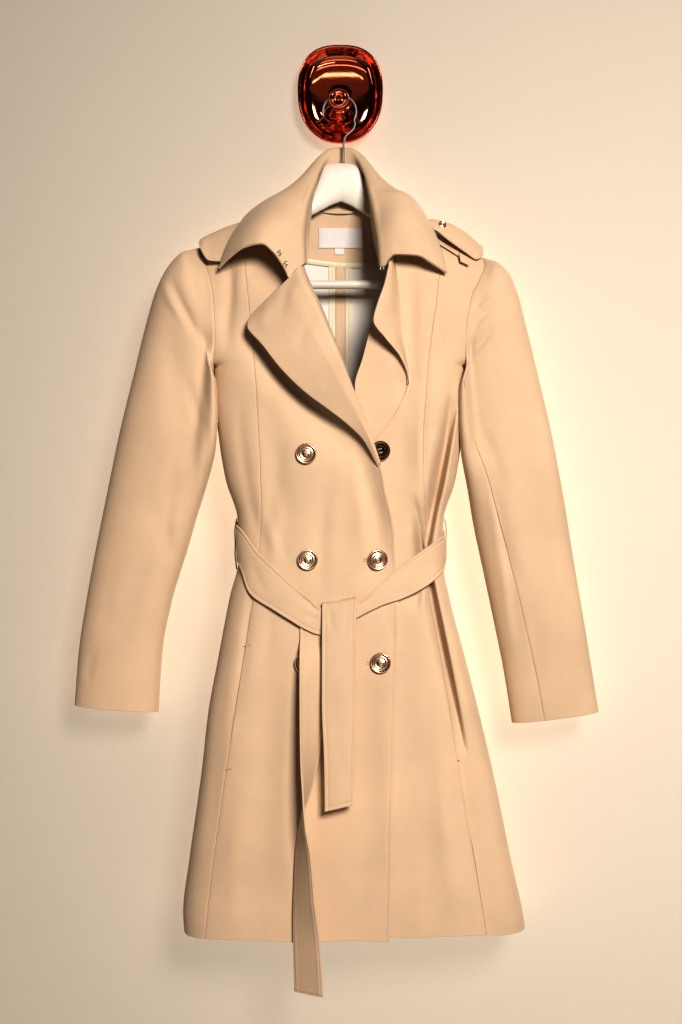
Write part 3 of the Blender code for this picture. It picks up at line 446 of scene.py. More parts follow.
EPAULETTES = {
    -1: Rows(
        "x back_y back_z ridge_y ridge_z front_y front_z",
        (-193, -46, -217, -54, -210, -66, -216),
        (-187, -38, -214, -54, -206, -88, -232),
        (-177, -34, -210, -54, -202, -92, -244),
        (-160, -32, -204, -54, -195, -92, -245),
        (-138, -32, -195, -54, -187, -88, -230),
        (-118, -32, -188, -52, -180, -82, -212),
    ),
    1: Rows(
        "x back_y back_z ridge_y ridge_z front_y front_z",
        (112, -26, -196, -50, -184, -74, -198),
        (124, -26, -198, -50, -181, -76, -199),
        (145, -26, -205, -50, -185, -78, -214),
        (168, -27, -217, -51, -197, -80, -231),
        (184, -32, -227, -53, -211, -78, -240),
        (193, -44, -231, -55, -220, -66, -232),
    ),
}

CARRIER_WIDE = 5.0
STRAP_OFF = 3.4
STRAP_LOOP_X = {-1: -168.0, 1: 170.0}
STRAP_BUTTON = (137.0, 0.80)

BUTTONS = Rows(
    "number x z radius thick under",
    (1, -46, -504, 13.5, 5, 0),
    (2, 52, -500, 13.2, 4.4, 7.6),
    (3, -44, -644, 13.5, 5, 0),
    (4, 48, -644, 13.5, 5, 0),
    (5, -48, -780, 13.5, 5, 0),
    (6, 52, -779, 13.5, 5, 0),
)

HANGER = Rows(
    "x top low mid half",
    (0, -99.5, -153, -38, 5.5),
    (15, -100.5, -159, -38, 5.5),
    (21.5, -103.5, -163, -38, 5.5),
    (25.5, -110, -165, -38, 5.5),
    (29.5, -120, -167, -38, 5.5),
    (34, -132, -170, -38, 5.5),
    (40, -148, -173, -38, 5.5),
    (46, -161, -177, -38, 5.5),
    (64, -172, -186, -39, 5.5),
    (90, -179.2, -203, -41, 6),
    (140, -203.5, -232, -45, 6.5),
    (168, -218.5, -262, -47, 7),
    (178, -225.5, -280, -48, 6.5),
)
HANGER_TILT = -5.0
BAR_Z = -269.0
BAR_RADIUS = 6.0
BAR_HALF = 163.9
WIRE = 1.35
WIRE_DEPTH = -34.0
LOOP_MIDDLE = (-2.0, -27.5)
LOOP_RADIUS = 23.0
WIRE_LOW = (
    (19.2, 0, -45), (17, 0, -51.5), (12, -0.4, -57), (6.8, -1, -61.5), (4.4, -1.6, -67),
    (3.6, -2.6, -75), (3.5, -4, -86), (3.5, -4, -99),
)

DISH_WIDE = 59.5
DISH_TALL = 68.5
DISH_NARROW = 0.226
NARROW_LOW = 5
KNOB_MIDDLE = (-3.0, -12.0)

# Finer sizes of the cloth's seams, edges and stitches.
WEAVE_MAP = "weave"
SEAM_NEAR = (0, 0.8, 1.7, 2.9, 4.6, 7.0)
STITCH_IN = 5.0
STITCH_NEAR = (0, 1.1, 2.3, 3.4, 4.2, 5.0, 5.8, 6.8, 9.0)
STITCH_PLACE = STITCH_NEAR.index(STITCH_IN)
SEAMED = (SEAM_NEAR, SEAM_NEAR)
SEWN = (STITCH_NEAR, STITCH_NEAR)
HEM_NEAR = (5.5, 3.4, 1.8, 0.8, 0.0)
CUFF_NEAR = (0, 1.0, 2.2, 4.0, 7.0)
SEAM_DIP = 0.35
SEAM_HALF = 1.3
PRESSED_DIP = 0.25
PRESSED_HALF = 1.6
EDGE_PUFF = 0.35
STITCH_DIP = 0.35
EDGE_ROUND = 0.36
RIM_ANGLES = (math.pi / 4, 0.0, -math.pi / 4)
RIM_UV = 0.0004
STITCH_FACES = (
    (0, 2, 4), (0, 4, 3), (0, 3, 5), (0, 5, 2), (1, 4, 2), (1, 3, 4), (1, 5, 3), (1, 2, 5),
)
# How far the left side panel sinks beside the long seam, and the front's edge rises over it.
FOLD_SINK = Rows(
    "z sink lip half",
    (-290, 0, 0, 4),
    (-350, 1.5, 0.5, 4),
    (-450, 2.5, 1, 4),
    (-640, 2.5, 1.5, 4),
    (-690, 3, 2, 4),
    (-780, 4, 2, 6),
    (-850, 4, 1.5, 9),
    (-905, 2, 1, 9),
    (-1150, 1.5, 0.5, 9),
)
BAR_TACKS = (
    (-124, -757, 0.2), (-148, -919, 0.2), (152.5, -907, -0.2),
)
PUFF_END = (0.6 - STITCH_IN, 2.0 - STITCH_IN)
STITCH_HALF = 0.9
HOLE_PROFILE = (
    (0.3, -0.35), (1.0, -0.32), (1.25, -0.1), (1.28, 0.16), (1.1, 0.2), (0.9, 0.1),
)

# Tapers of folds and creases, and how near the side seam they calm down.
FOLD_TAPER = 0.7
CREASE_TAPER = 0.8
CALM_AT_SIDE = 8
BACK_SQUARER = 0.6

# How many points run along and across the large pieces, and their steps.
SHOULDER_ROWS = 12
ARMHOLE_ROWS = 30
SKIRT_ROWS = 100
PANEL_COLUMNS = 121
HEM_CLOSE = 8
BODY_STEP = 5.0
SLEEVE_STEP = 5.5
COLLAR_STEP = 3.0
LAPEL_STEP = 3.5
FACING_STEP = 4.0
BELT_STEP = 4.5
TAIL_STEP = 4.0

# The hem's wave.
HEM_WAVE = 1.2
HEM_WAVE_REACH = 60.0
HEM_WAVE_PACE = 23
HEM_WAVE_TURN = 1.1

# The lap over the covered button, and the right front's edge below its lapel.
COVERED_BUTTON_REACH = 34
LAP_FADE = 30
EDGE_ROLL = 9.0
ROLL_STARTS = (470, 540)
ROLL_ENDS = (-690, -580)
ROLL_HALF = 10
ROLL_DIP = 0.35
ROLL_DIP_AT = 24
ROLL_DIP_HALF = 9
EDGE_STITCH_FROM = -505.0

# Pocket mouths in the long seams, their bar tacks, and the fold beside the left front.
POCKET_TOP = -690.0
POCKET_LOW = -905.0
POCKET_LIP = 0.8
POCKET_SINK = 1.4
POCKET_FADE = 45
POCKET_LIP_HALF = 7
POCKET_SINK_HALF = 9
LIP_AT = 6
FOLD_EDGE_HALF = 0.9
BAR_TACK_LONG = 9.0
TACK_OUT = 0.9

# The armhole seam and the sleeve beside it.
SLEEVE_CLOSE = 0.05
SLEEVE_SIDE = 0.35
SLEEVE_HEAD_AT = 4.0
SLEEVE_HEAD_HALF = 2.6
SLEEVE_HEAD_RISE = 0.5
ARMHOLE_SEAM_HALF = 1.4

# Collar and lapels.
NECK_MIDDLE = -60.0
STAND_LEAN = 1.8
STAND_DROP = 2.4
STEP_UP = 6
COLLAR_END_FADE = 1.3
LAPEL_CORNER = (0.075, 0.13)
LAPEL_TUCK = 4.0
LAPEL_OFF = 1.2
ROLL_BULGE = 0.22
ROLL_SHARE = 0.3
LIFTED_BY = 0.16
LAPEL_DROOP = 0.52
LAPEL_ABOVE = 0.5
LAPEL_BEHIND = 0.3
LAPEL_FOOT = (4.2, 6.6)
LAPEL_FOOT_LIFT = 0.2

# Belt, its tails and its loops.
BELT_REACH = 145.0
BELT_BULGE = 0.8
BELT_BACK_LIFT = 3.0
BELT_TURN = 0.985
KNOT_FOOT = -706.0
SHORT_TAIL_BOW = 1.2
LONG_TAIL_BOW = 2.0
LOOP_HALF = 4

# Carriers of the shoulder straps, and the end that shows below the left one.
CARRIER_HALF = 4.5
BAND_REACH = (128, 166)
BAND_X = 130
BAND_Z = -215.5
BAND_SLOPE = 0.68
BAND_THICK = 2.0
TAB_CORNER = (158, -233)
TAB_SIZE = 12.5
TAB_OFF = 6.0
TAB_BOW = 1.6

# Tapes and the strips inside the back.
TAPE = 1.2
STRIP = 0.6
STRIP_UNDER_FACING = 3
STRIP_ABOVE_HEM = 12

# Buttons, buttonholes, hanger and collar hooks.
FULL_RADIUS = 13.5
STRAP_BUTTON_SIZE = (5.5, 3.0)
LEAN_OVER = 8
THREAD_APART = 0.35
THREAD_RADIUS = 0.28
BUTTONHOLE_HALF = 14.0
BUTTONHOLE_SLOT = 1.3
HANGER_SQUARE = 2.6
HANGER_HALF = 178
BAR_Y = -47.0
BAR_DOME = 4
LOOP_ARC = (196, -28)
DOME = (0.35, 0.7, 0.93)
EYE_OPEN = 2.4
EYE_RADIUS = 2.4
EYE_WIRE = 0.55
DISH_SQUARE = 2.6
HOOK_AROUND = 128

# The camera, level and 2 m in front of the wall.
CAMERA_PLACE = (0, -2.0, -0.581)
LENS = 50
SENSOR = 36

# Radius and height of a button's profile, as shares of its radius and thickness.
BUTTON_PROFILE = (
    (0.80, 0.0), (0.97, 0.12), (1.0, 0.45), (0.985, 0.8), (0.93, 0.98), (0.87, 0.96),
    (0.80, 0.78), (0.74, 0.62), (0.68, 0.60), (0.62, 0.68), (0.56, 0.71), (0.50, 0.66),
    (0.44, 0.60), (0.36, 0.64), (0.24, 0.73), (0.12, 0.78), (0.02, 0.79),
)
BUTTON_FACE = 0.74
BUTTON_TURN = 0.5
HOLE_RING = 0.24
SHADED_BUTTON = "button_2"
OWN_LIGHT = ("wall_hook_dish", "button_2_metal")

# Scale and depth of the dish's profile, then radius and depth of the knob's.
HOOK_OUTLINE = (
    (0.78, 0), (0.9, -7), (0.965, -14), (0.995, -20), (1.0, -22.5), (0.985, -23.5), (0.965, -23.3),
    (0.945, -21.8), (0.91, -18.2), (0.86, -13), (0.80, -9.6), (0.72, -7.4), (0.6, -6.1), (0.45, -5.4),
    (0.3, -5.2),
)
HOOK_STEM = (
    (11.5, -5.2), (8.0, -6.4), (6.2, -9), (5.6, -14), (5.5, -24), (5.6, -34), (6.6, -36.6),
    (10, -37.6), (12.8, -39), (14.0, -41.4), (13.6, -44.2), (11.6, -46.4), (9.0, -47.2),
    (7.2, -46.4), (5.0, -45.8), (2.5, -45.8), (0.6, -45.8),
)

# Inside the neck: the facing's half width, and its lower edge as level over X.
NECK_FACING = Rows(
    "step z half",
    (0, -159, 52), (1, -176, 54), (2, -190, 60), (3, -210, 68), (4, -228, 68), (5, -236, 66),
)
FACING_LOW = Rows(
    "x z",
    (-68, -226), (-53, -229), (-25, -233), (5, -236), (30, -236), (53, -235), (68, -233),
)
COLLAR_HOOKS = (
    (-80, -143, -242, 0.6), (-72, -141, -256, 0.9), (54, -137, -262, 1.4),
)

# Small creases from (x0, z0) to (x1, z1), which bow to one side; depth > 0 sinks in.
Crease = namedtuple("Crease", "x0 z0 x1 z1 bow half depth")
CREASES = {
    "front": (
        (-14, -516, -26, -700, 6, 11, 3.4),
        (-150, -248, -148, -318, -4, 6, 1.6),
        (96, -560, 30, -668, -8, 9, 1.8),
        (-120, -560, -86, -650, 5, 8, 1.8),
        (-96, -560, -58, -672, 4, 7, 1.3),
        (118, -560, 96, -640, 3, 6, 1.6),
        (-82, -720, -96, -1100, 10, 20, 1.4),
        (20, -760, 30, -1120, -6, 20, 2.2),
        (96, -760, 112, -1100, 6, 16, 1.6),
        (-24, -740, -30, -1130, 5, 17, 1.8),
        (-130, -940, -140, -1140, 6, 12, -1.6),
        (60, -320, 104, -470, 8, 8, 1.4),
        (136, -300, 120, -420, -4, 6, 2.0),
        (-70, -470, -94, -600, 5, 10, 1.2),
        (62, -690, 70, -760, 2, 5, 1.2),
        (92, -668, 116, -742, 3, 6, 1.5),
        (-92, -708, -104, -790, -3, 7, 1.4),
        (150, -392, 116, -622, -3, 5, 4.0),
        (30, -520, 34, -660, 3, 16, -4.5),
        (158, -410, 126, -640, -2, 6, -4.0),
        (134, -660, 174, -880, -2, 8, -4.0),
        (-136, -430, -112, -610, 4, 7, 2.4),
        (-116, -650, -142, -860, -4, 6, 2.6),
        (84, -255, 74, -420, -3, 9, 2.6),
        (-78, -560, -92, -660, 3, 9, -2.4),
        (-58, -760, -66, -1100, 6, 15, -3.0),
        (132, -860, 150, -1120, 5, 12, -3.0),
        (62, -740, 70, -1110, 4, 14, -2.6),
    ),
    "back": (
        (-34, -240, -96, -372, 10, 10, 2.4),
        (40, -250, 102, -384, -9, 11, 2.2),
        (-70, -480, -22, -590, 6, 10, 2.0),
        (74, -470, 30, -588, -7, 9, 2.2),
        (-112, -520, -64, -606, 5, 8, 1.8),
        (108, -540, 62, -604, -4, 8, 1.6),
        (-104, -650, -90, -800, 6, 10, 2.2),
        (98, -654, 92, -820, -6, 11, 2.0),
        (-26, -660, -30, -900, 5, 14, 2.2),
        (24, -700, 34, -1080, -6, 18, 2.4),
        (-140, -800, -150, -1120, 6, 14, 2.2),
        (146, -820, 160, -1120, -5, 15, 2.0),
    ),
    "sleeves": (
        (-229, -266, -178, -362, 4, 6, 5.5),
        (-209, -252, -174, -308, 3, 4.5, 4.0),
        (-188, -250, -172, -304, 2, 3.5, 3.0),
        (-244, -262, -200, -336, 5, 5, -3.0),
        (-206, -396, -180, -480, 3, 8, 2.0),
        (-176, -404, -184, -560, -4, 8, 2.0),
        (-262, -560, -204, -700, -6, 12, 1.8),
        (-330, -770, -342, -812, 3, 6, 1.6),
        (-300, -640, -318, -760, 4, 10, 1.0),
        (174, -312, 200, -290, -2, 3.2, 4.4),
        (172, -338, 210, -304, -3, 3.8, 4.6),
        (170, -372, 204, -330, 3, 4.5, 4.6),
        (240, -370, 250, -600, 4, 10, 1.8),
        (176, -450, 220, -560, -5, 8, 2.0),
        (214, -620, 250, -700, -3, 8, 1.4),
        (262, -690, 268, -830, 3, 9, 1.4),
        (300, -640, 318, -760, -4, 11, 1.2),
        (184, -262, 216, -284, -2, 3.2, 3.6),
        (-186, -420, -196, -640, -5, 7, -3.0),
        (-214, -470, -236, -690, 6, 9, 2.6),
        (196, -520, 240, -760, -5, 8, 2.4),
        (186, -500, 232, -780, -5, 5, -2.2),
    ),
    "sleeves_back": (
        (-226, -280, -184, -380, 5, 8, 2.6),
        (-206, -260, -178, -320, 3, 5, 2.0),
        (-270, -420, -206, -560, -6, 10, 2.2),
        (-236, -560, -214, -700, 4, 10, 1.8),
        (-320, -600, -280, -740, -5, 12, 1.6),
        (222, -290, 182, -392, -5, 8, 2.4),
        (204, -264, 180, -330, -3, 5, 1.8),
        (262, -430, 204, -560, 6, 10, 2.2),
        (240, -570, 214, -700, -4, 11, 1.6),
        (312, -620, 270, -750, 5, 12, 1.6),
    ),
    "lapel": (
        (-60, -262, -78, -330, 3, 7, 2.2),
        (-30, -320, -58, -372, 3, 7, 1.6),
        (0, -390, -24, -420, 2, 6, 1.2),
        (-92, -300, -104, -346, 2, 8, -1.6),
    ),
    "hollow": (
        (-136, -330, 44, -524, 7, 20, 12.0),
        (-132, -262, -64, -306, -6, 20, 9.0),
    ),
    "belt": (
        (22, -712, 52, -684, 2, 3, 1.8),
        (21, -704, 44, -690, 1, 2.4, 1.2),
        (60, -692, 92, -676, 1, 4, 1.2),
        (-30, -712, -62, -690, 2, 3.4, 1.5),
        (-27, -724, -52, -716, 1, 3, 1.2),
        (-120, -644, -96, -690, 2, 5, 1.0),
        (116, -640, 104, -676, -2, 5, 1.0),
    ),
    "tail": (
        (-16, -700, -8, -742, 1.5, 2.6, 1.6),
        (11, -698, 2, -746, -1.5, 2.6, 1.4),
        (-3, -702, -2, -730, 0, 2, 0.8),
        (-10, -800, 4, -930, 2, 7, 0.8),
    ),
}

# Colours are linear.
TAN = (0.636, 0.491, 0.356)
LINING_SIDE = (0.76, 0.72, 0.68)
BINDING = (0.76, 0.70, 0.56)
LABEL = (0.70, 0.68, 0.68)
THREAD = (0.74, 0.56, 0.38)
OLD_GOLD = (0.66, 0.50, 0.38)
# The buttons' holes are drawn as small dark discs; this near-black is painted shade for the inside of a
# hole.
HOLE_PAINTED_SHADE = (0.05, 0.03, 0.02)
COPPER = (0.88, 0.36, 0.25)
PAINT = (0.68, 0.64, 0.58)
STEEL = (0.24, 0.22, 0.21)
WALL_COLOUR = (0.765, 0.715, 0.645)
FLOOR_COLOUR = (0.80, 0.76, 0.70)
WORLD_COLOUR = (0.70, 0.30, 0.13)
WORLD_STRENGTH = 0.03
BACKDROP_COLOUR = (0.80, 0.74, 0.66)
BACKDROP_STRENGTH = 1.0
TWILL_TURN = 0.96
FLOOR = -1.9
CONTRAST = 0.7

# Lights: name, place, target, size, power, colour, what it lights, whether the coat
# casts a shadow in it. The wall has its own, so that the coat's shadow on it stays faint,
# and the bright metal has its own cards and strips to mirror.
KEY_SPREAD = math.radians(80)
LIGHTS = (
    ("key", (0.85, -3.0, 0.62), (0.06, -0.1, -0.68), (0.9, 0.9), 32.5, (1.0, 0.93, 0.86), "coat", True),
    ("wall", (0.40, -1.79, -0.50), (0.60, 0, -0.56), (0.4, 0.4), 31, (1.0, 0.93, 0.85), "wall", False),
    ("wall_soft", (1.00, -3.0, 0.80), (0, 0, -0.55), (1.0, 1.0), 32, (1.0, 0.93, 0.85), "wall", True),
    ("back_soft", (1.5, 2.7, 0.7), (0, 0, -0.6), (1.6, 1.6), 75, (1.0, 0.94, 0.88), "coat", False),
    ("card", (0.2, -3.2, -0.2), (0, 0, -0.6), (3.0, 2.4), 9, (1.0, 0.86, 0.70), "buttons", False),
    ("card_low", (0.3, -1.2, -1.5), (0, 0, -0.6), (1.0, 0.3), 1.2, (1.0, 0.9, 0.8), "buttons", False),
    ("hook_card", (0.2, -3.2, -0.3), (0, 0, 0), (3.4, 2.6), 4.6, (1.0, 0.36, 0.20), "hook", False),
    ("band_1", (0.1, -1.6, -0.74), (0, 0, 0), (1.3, 0.20), 2.4, (1.0, 0.6, 0.42), "hook", False),
    ("band_2", (0.34, -1.6, -0.22), (0, 0, 0), (0.6, 0.05), 0.9, (1.0, 0.88, 0.6), "hook", False),
    ("band_3", (-0.1, -1.6, 0.02), (0, 0, 0), (1.3, 0.06), 0.8, (1.0, 0.55, 0.42), "hook", False),
    ("band_4", (0.15, -1.6, 0.34), (0, 0, 0), (0.9, 0.04), 0.5, (1.0, 0.66, 0.5), "hook", False),
    ("glow_left", (0.80, -2.4, 1.10), (0, 0, 0), (0.3, 0.4), 4.0, (1.0, 0.93, 0.76), "hook", False),
    ("glow_right", (-0.75, -2.3, 1.15), (0, 0, 0), (0.34, 0.34), 4.0, (1.0, 0.92, 0.76), "hook", False),
    ("strip_left", (-1.5, -1.2, -0.1), (0, 0, 0), (0.14, 0.9), 1.2, (1.0, 0.7, 0.54), "hook", False),
    ("strip_right", (1.5, -1.4, -0.3), (0, 0, 0), (0.14, 0.8), 1.4, (1.0, 0.76, 0.6), "hook", False),
    ("floor_glow", (0, -1.5, -1.6), (0, 0, 0), (1.6, 0.8), 1.0, (1.0, 0.5, 0.36), "hook", False),
)


def side_of(x):
    return np.where(np.asarray(x) < 0, -1, 1)


def ramp(value, start, end):
    """0 before the start, 1 after the end, and a smooth rise between them."""
    share = np.clip((value - start) / (end - start), 0.0, 1.0)
    return share * share * (3 - 2 * share)


def bell(away, half):
    """1 in the middle, and near 0 at twice the half width."""
    return np.exp(-((away / half) ** 2))


def hump(share):
    """0 at both ends of a share and 1 in its middle."""
    return np.maximum(np.sin(np.pi * share), 0)


def column_of(start, end, count):
    """Values that run down a grid."""
    return np.linspace(start, end, count)[:, None]


def row_of(start, end, count):
    """Values that run across a grid."""
    return np.linspace(start, end, count)[None, :]


def stacked(*parts):
    """One grid of points from a grid of each coordinate."""
    return np.stack(np.broadcast_arrays(*parts), -1)


def superellipse(angle, exponent):
    c, s = np.cos(angle), np.sin(angle)
    first = np.copysign(np.abs(c) ** (2 / exponent), c)
    return first, np.copysign(np.abs(s) ** (2 / exponent), s)


def half_width(side, z):
    return np.where(side < 0, BODY.at("left", z), BODY.at("right", z))


def shoulder_top(side):
    return np.where(side < 0, SHOULDER_TOP[-1], SHOULDER_TOP[1])


def kept_share(side, z):
    """How much of the section's width a panel keeps: less where the armhole is cut."""
    top = shoulder_top(side)
    share = np.clip((top - z) / (top - UNDERARM), 0.0, 1.0)
    return 1 - ARMHOLE_CUT * hump(share) ** ARMHOLE_ROUND


def section_depth(side, z, ratio, face):
    """The depth of a level section at a share of its half width."""
    seam = BODY.at("side", z) + (SEAM if face == "back" else -SEAM)
    square = BODY.at("square", z) + (BACK_SQUARER if face == "back" else 0.0)
    rise = (1 - np.minimum(ratio, 1.0) ** square) ** (1 / square)
    return seam + (BODY.at(face, z) - seam) * rise


def fold_share(fold, z):
    return np.clip((fold.top - z) / (fold.top - fold.low), 0, 1)


def fold_depth(x, z, face):
    total = 0.0
    for fold in map(Fold._make, FOLDS[face]):
        share = fold_share(fold, z)
        centre = fold.top_x + share * (fold.low_x - fold.top_x)
        half = np.where(x > centre, fold.right, fold.half)
        across = bell(x - centre, half)
        total = total + fold.depth * hump(share) ** FOLD_TAPER * across
    return total


def crease_depth(x, z, creases):
    """Soft troughs and ridges, each along a line that bows to one side."""
    total = 0.0
    for x0, z0, x1, z1, bow, half, depth in map(Crease._make, creases):
        run = math.hypot(x1 - x0, z1 - z0)
        along_x, along_z = (x1 - x0) / run, (z1 - z0) / run
        share = ((x - x0) * along_x + (z - z0) * along_z) / run
        inside = np.clip(share, 0, 1)
        away = (x - x0) * along_z - (z - z0) * along_x - bow * 4 * inside * (1 - inside)
        taper = hump(inside) ** CREASE_TAPER
        total = total + depth * taper * bell(away, half)
    return total


def surface(x, z, face):
    """The depth of the body's outer face, front or back, at a place seen from the front."""
    x, z = np.asarray(x, float), np.asarray(z, float)
    side = side_of(x)
    keep = kept_share(side, z)
    ratio = np.minimum(np.abs(x) / half_width(side, z), 1.0)
    ratio = ratio * (1 - (1 - keep) * ratio**EDGE_ONLY)
    in_armhole = (z > UNDERARM) & (z < shoulder_top(side))
    calm = np.where(in_armhole, 1.0, np.minimum(1.0, CALM_AT_SIDE * (1 - ratio)))
    small = crease_depth(x, z, CREASES[face]) * (1 if face == "front" else -1)
    return section_depth(side, z, ratio, face) + (fold_depth(x, z, face) + small) * calm


def clear_of_body(points, off):
    """Moves the points of an outer piece out of the body where they would sink in."""
    x, y, z = points[..., 0], points[..., 1], points[..., 2]
    on = (z < NECK_TOP) & (np.abs(x) < half_width(side_of(x), z) - REST)
    lifted = np.minimum(y, surface(x, z, "front") - off)
    pushed = np.maximum(y, surface(x, z, "back") + off)
    moved = np.where(y < BODY.at("side", z), lifted, pushed)
    return stacked(x, np.where(on, moved, y), z)


def through_three(first, middle, last, share):
    """A point on the smooth curve through three points, reached at 0, 1/2 and 1."""
    a = 2 * (share - 0.5) * (share - 1)
    b = -4 * share * (share - 1)
    c = 2 * share * (share - 0.5)
    return a * first + b * middle + c * last


def unit(ways):
    return ways / np.maximum(np.linalg.norm(ways, axis=-1, keepdims=True), 1e-9)


def normals(grid):
    """The way out at each point of a grid, on the side that faces -Y in front."""
    return unit(np.cross(np.gradient(grid, axis=0), np.gradient(grid, axis=1)))


def run_along(rows):
    """How far each point lies along its row, from the row's first point."""
    steps = np.linalg.norm(np.diff(rows, axis=1), axis=2)
    return np.concatenate([np.zeros((len(rows), 1)), np.cumsum(steps, axis=1)], axis=1)


def laid(grid, first, last, step):
    """The grid with each row's points about a step apart, and closer near its two ends."""
    run = run_along(grid)
    first, last = np.array(first, float), np.array(last, float)
    between = max(2, round((run[:, -1].max() - first[-1] - last[-1]) / step))
    rows = []
    for row, along in zip(grid, run):
        squeeze = min(1.0, along[-1] / (first[-1] + last[-1] + step))
        start, end = first * squeeze, along[-1] - last[::-1] * squeeze
        middle = np.linspace(start[-1], end[0], between + 1)[1:-1]
        places = np.concatenate([start, middle, end])
        rows.append(np.stack([np.interp(places, along, row[:, k]) for k in range(3)], 1))
    return np.array(rows)


def turned(grid):
    return grid.transpose(1, 0, 2)


def laid_both(grid, across, down, step):
    """A grid laid out along its rows and then down its columns."""
    grid = laid(grid, across[0], across[1], step)
    return turned(laid(turned(grid), down[0], down[1], step))


def seam(away, grid):
    """A seam's edge sinks a little into the cloth."""
    return -SEAM_DIP * bell(away, SEAM_HALF)


def stitched(away, grid):
    """A stitched edge is a little thicker as far as its line of stitches."""
    puff = EDGE_PUFF * ramp(-away, *PUFF_END)
    return puff - STITCH_DIP * bell(away - STITCH_IN, STITCH_HALF)


def pressed(away, grid):
    """A pressed edge thins a little."""
    return -PRESSED_DIP * bell(away, PRESSED_HALF)


def plain(away, grid):
    return np.zeros_like(away)


class Cloth:
    """A closed wall of cloth with rounded edges, from a grid of points in millimetres.

    inward is the share of the wall behind the grid, turn is -1 for a grid whose columns
    run the other way round, and edges gives the relief near the grid's four edges.
    """

    def __init__(self, name, grid, wall, edges="", inward=1.0, turn=1, looks=None):
        kinds = dict(zip(("first", "last", "top", "bottom"), edges.split()))
        across = run_along(grid)
        down = run_along(turned(grid)).T
        away = {
            "first": across,
            "last": across[:, -1:] - across,
            "top": down,
            "bottom": down[-1:] - down,
        }
        relief = 0.0
        for edge, kind in kinds.items():
            relief = relief + RELIEF[kind](away[edge], grid)
        self.ways = normals(grid) * turn
        grid = grid + self.ways * np.asarray(relief)[..., None]
        self.kinds = kinds
        self.middle = grid + self.ways * wall * (0.5 - inward)
        self.outer = self.middle + self.ways * wall / 2
        self.flat = (across[:, -1].max() * MM, down[-1].max() * MM)
        self.area = self.face_area()
        self.object = self.build(name, wall, across, down, looks or (cloth_look, cloth_look))

    def face_area(self):
        grid = self.middle * MM
        one = np.cross(grid[1:, :-1] - grid[:-1, :-1], grid[:-1, 1:] - grid[:-1, :-1])
        two = np.cross(grid[:-1, 1:] - grid[1:, 1:], grid[1:, :-1] - grid[1:, 1:])
        return float((np.linalg.norm(one, axis=2) + np.linalg.norm(two, axis=2)).sum() / 2)

    def build(self, name, wall, across, down, looks):
        rows, columns = self.middle.shape[:2]
        middle = self.middle.copy()
        out = np.zeros_like(middle)
        out[0] += unit(middle[0] - middle[1])
        out[-1] += unit(middle[-1] - middle[-2])
        out[:, 0] += unit(middle[:, 0] - middle[:, 1])
        out[:, -1] += unit(middle[:, -1] - middle[:, -2])
        rounding = EDGE_ROUND * wall
        index = np.arange(rows * columns).reshape(rows, columns)
        ring = np.concatenate([index[0], index[1:, -1], index[-1, -2::-1], index[-2:0:-1, 0]])
        inset = (middle - out * rounding).reshape(-1, 3)
        ways, out = self.ways.reshape(-1, 3), out.reshape(-1, 3)
        points = [inset + ways * wall / 2, inset - ways * wall / 2]
        for angle in RIM_ANGLES:
            lift = wall / 2 * math.sin(angle)
            points.append(inset[ring] + out[ring] * rounding * math.cos(angle) + ways[ring] * lift)
        uv = stacked(across, down).reshape(-1, 2) * MM
        uvs = [uv, uv] + [uv[ring] + RIM_UV * (k + 1) for k in range(len(RIM_ANGLES))]
        back, around = rows * columns, len(ring)
        quads = stacked(index[:-1, :-1], index[1:, :-1], index[1:, 1:], index[:-1, 1:])
        quads = quads.reshape(-1, 4)
        faces = [quads, quads[:, ::-1] + back]
        strips = [ring]
        strips += [2 * back + around * k + np.arange(around) for k in range(len(RIM_ANGLES))]
        strips += [ring + back]
        for upper, lower in zip(strips, strips[1:]):
            joined = [upper, np.roll(upper, -1), np.roll(lower, -1), lower]
            faces.append(np.stack(joined, 1))
        kinds = [np.zeros(len(quads)), np.ones(len(quads)), np.zeros(around * (len(strips) - 1))]
        return mesh_object(
            name, np.concatenate(points), np.concatenate(faces), looks,
            uv=np.concatenate(uvs), kinds=np.concatenate(kinds),
        )

    def line(self, edge, inside=None):
        """The points and ways out along an edge, at the line of stitches."""
        grid, ways, kinds = self.outer, self.ways, self.kinds
        ends = [kinds.get("top"), kinds.get("bottom")]
        if edge in ("top", "bottom"):
            grid, ways = turned(grid), turned(ways)
            ends = [kinds.get("first"), kinds.get("last")]
        place = STITCH_PLACE if inside is None else inside
        column = place if edge in ("first", "top") else -1 - place
        start = STITCH_PLACE if ends[0] == "stitched" else 0
        end = len(grid) - (STITCH_PLACE if ends[1] == "stitched" else 0)
        return grid[start:end, column], ways[start:end, column]


def mesh_object(name, points, faces, looks, uv=None, kinds=None):
    """An object from points in millimetres, its faces turned outwards."""
    points = np.asarray(points, float) * MM
    faces = [tuple(map(int, face)) for face in faces]
    corners = np.array([(f[0], f[i], f[i + 1]) for f in faces for i in range(1, len(f) - 1)])
    if np.linalg.det(points[corners] - points.mean(0)).sum() < 0:
        faces = [face[::-1] for face in faces]
    mesh = bpy.data.meshes.new(name)
    mesh.from_pydata(points.tolist(), [], faces)
    if uv is not None:
        layer = mesh.uv_layers.new(name=WEAVE_MAP)
        ends = np.empty(len(mesh.loops), int)
        mesh.loops.foreach_get("vertex_index", ends)
        layer.uv.foreach_set("vector", uv[ends].astype(np.float32).ravel())
    for look in looks:
        mesh.materials.append(look)
    if kinds is not None:
        mesh.polygons.foreach_set("material_index", np.asarray(kinds, int))
    mesh.polygons.foreach_set("use_smooth", [True] * len(mesh.polygons))
    mesh.update()
    made = bpy.data.objects.new(name, mesh)
    bpy.context.scene.collection.objects.link(made)
    return made


def place(piece, slot, *nodes):
    """A finished piece rides on the part's one body and stands for its nodes."""
    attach(piece, "root")
    if nodes:
        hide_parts(*nodes)
    return piece


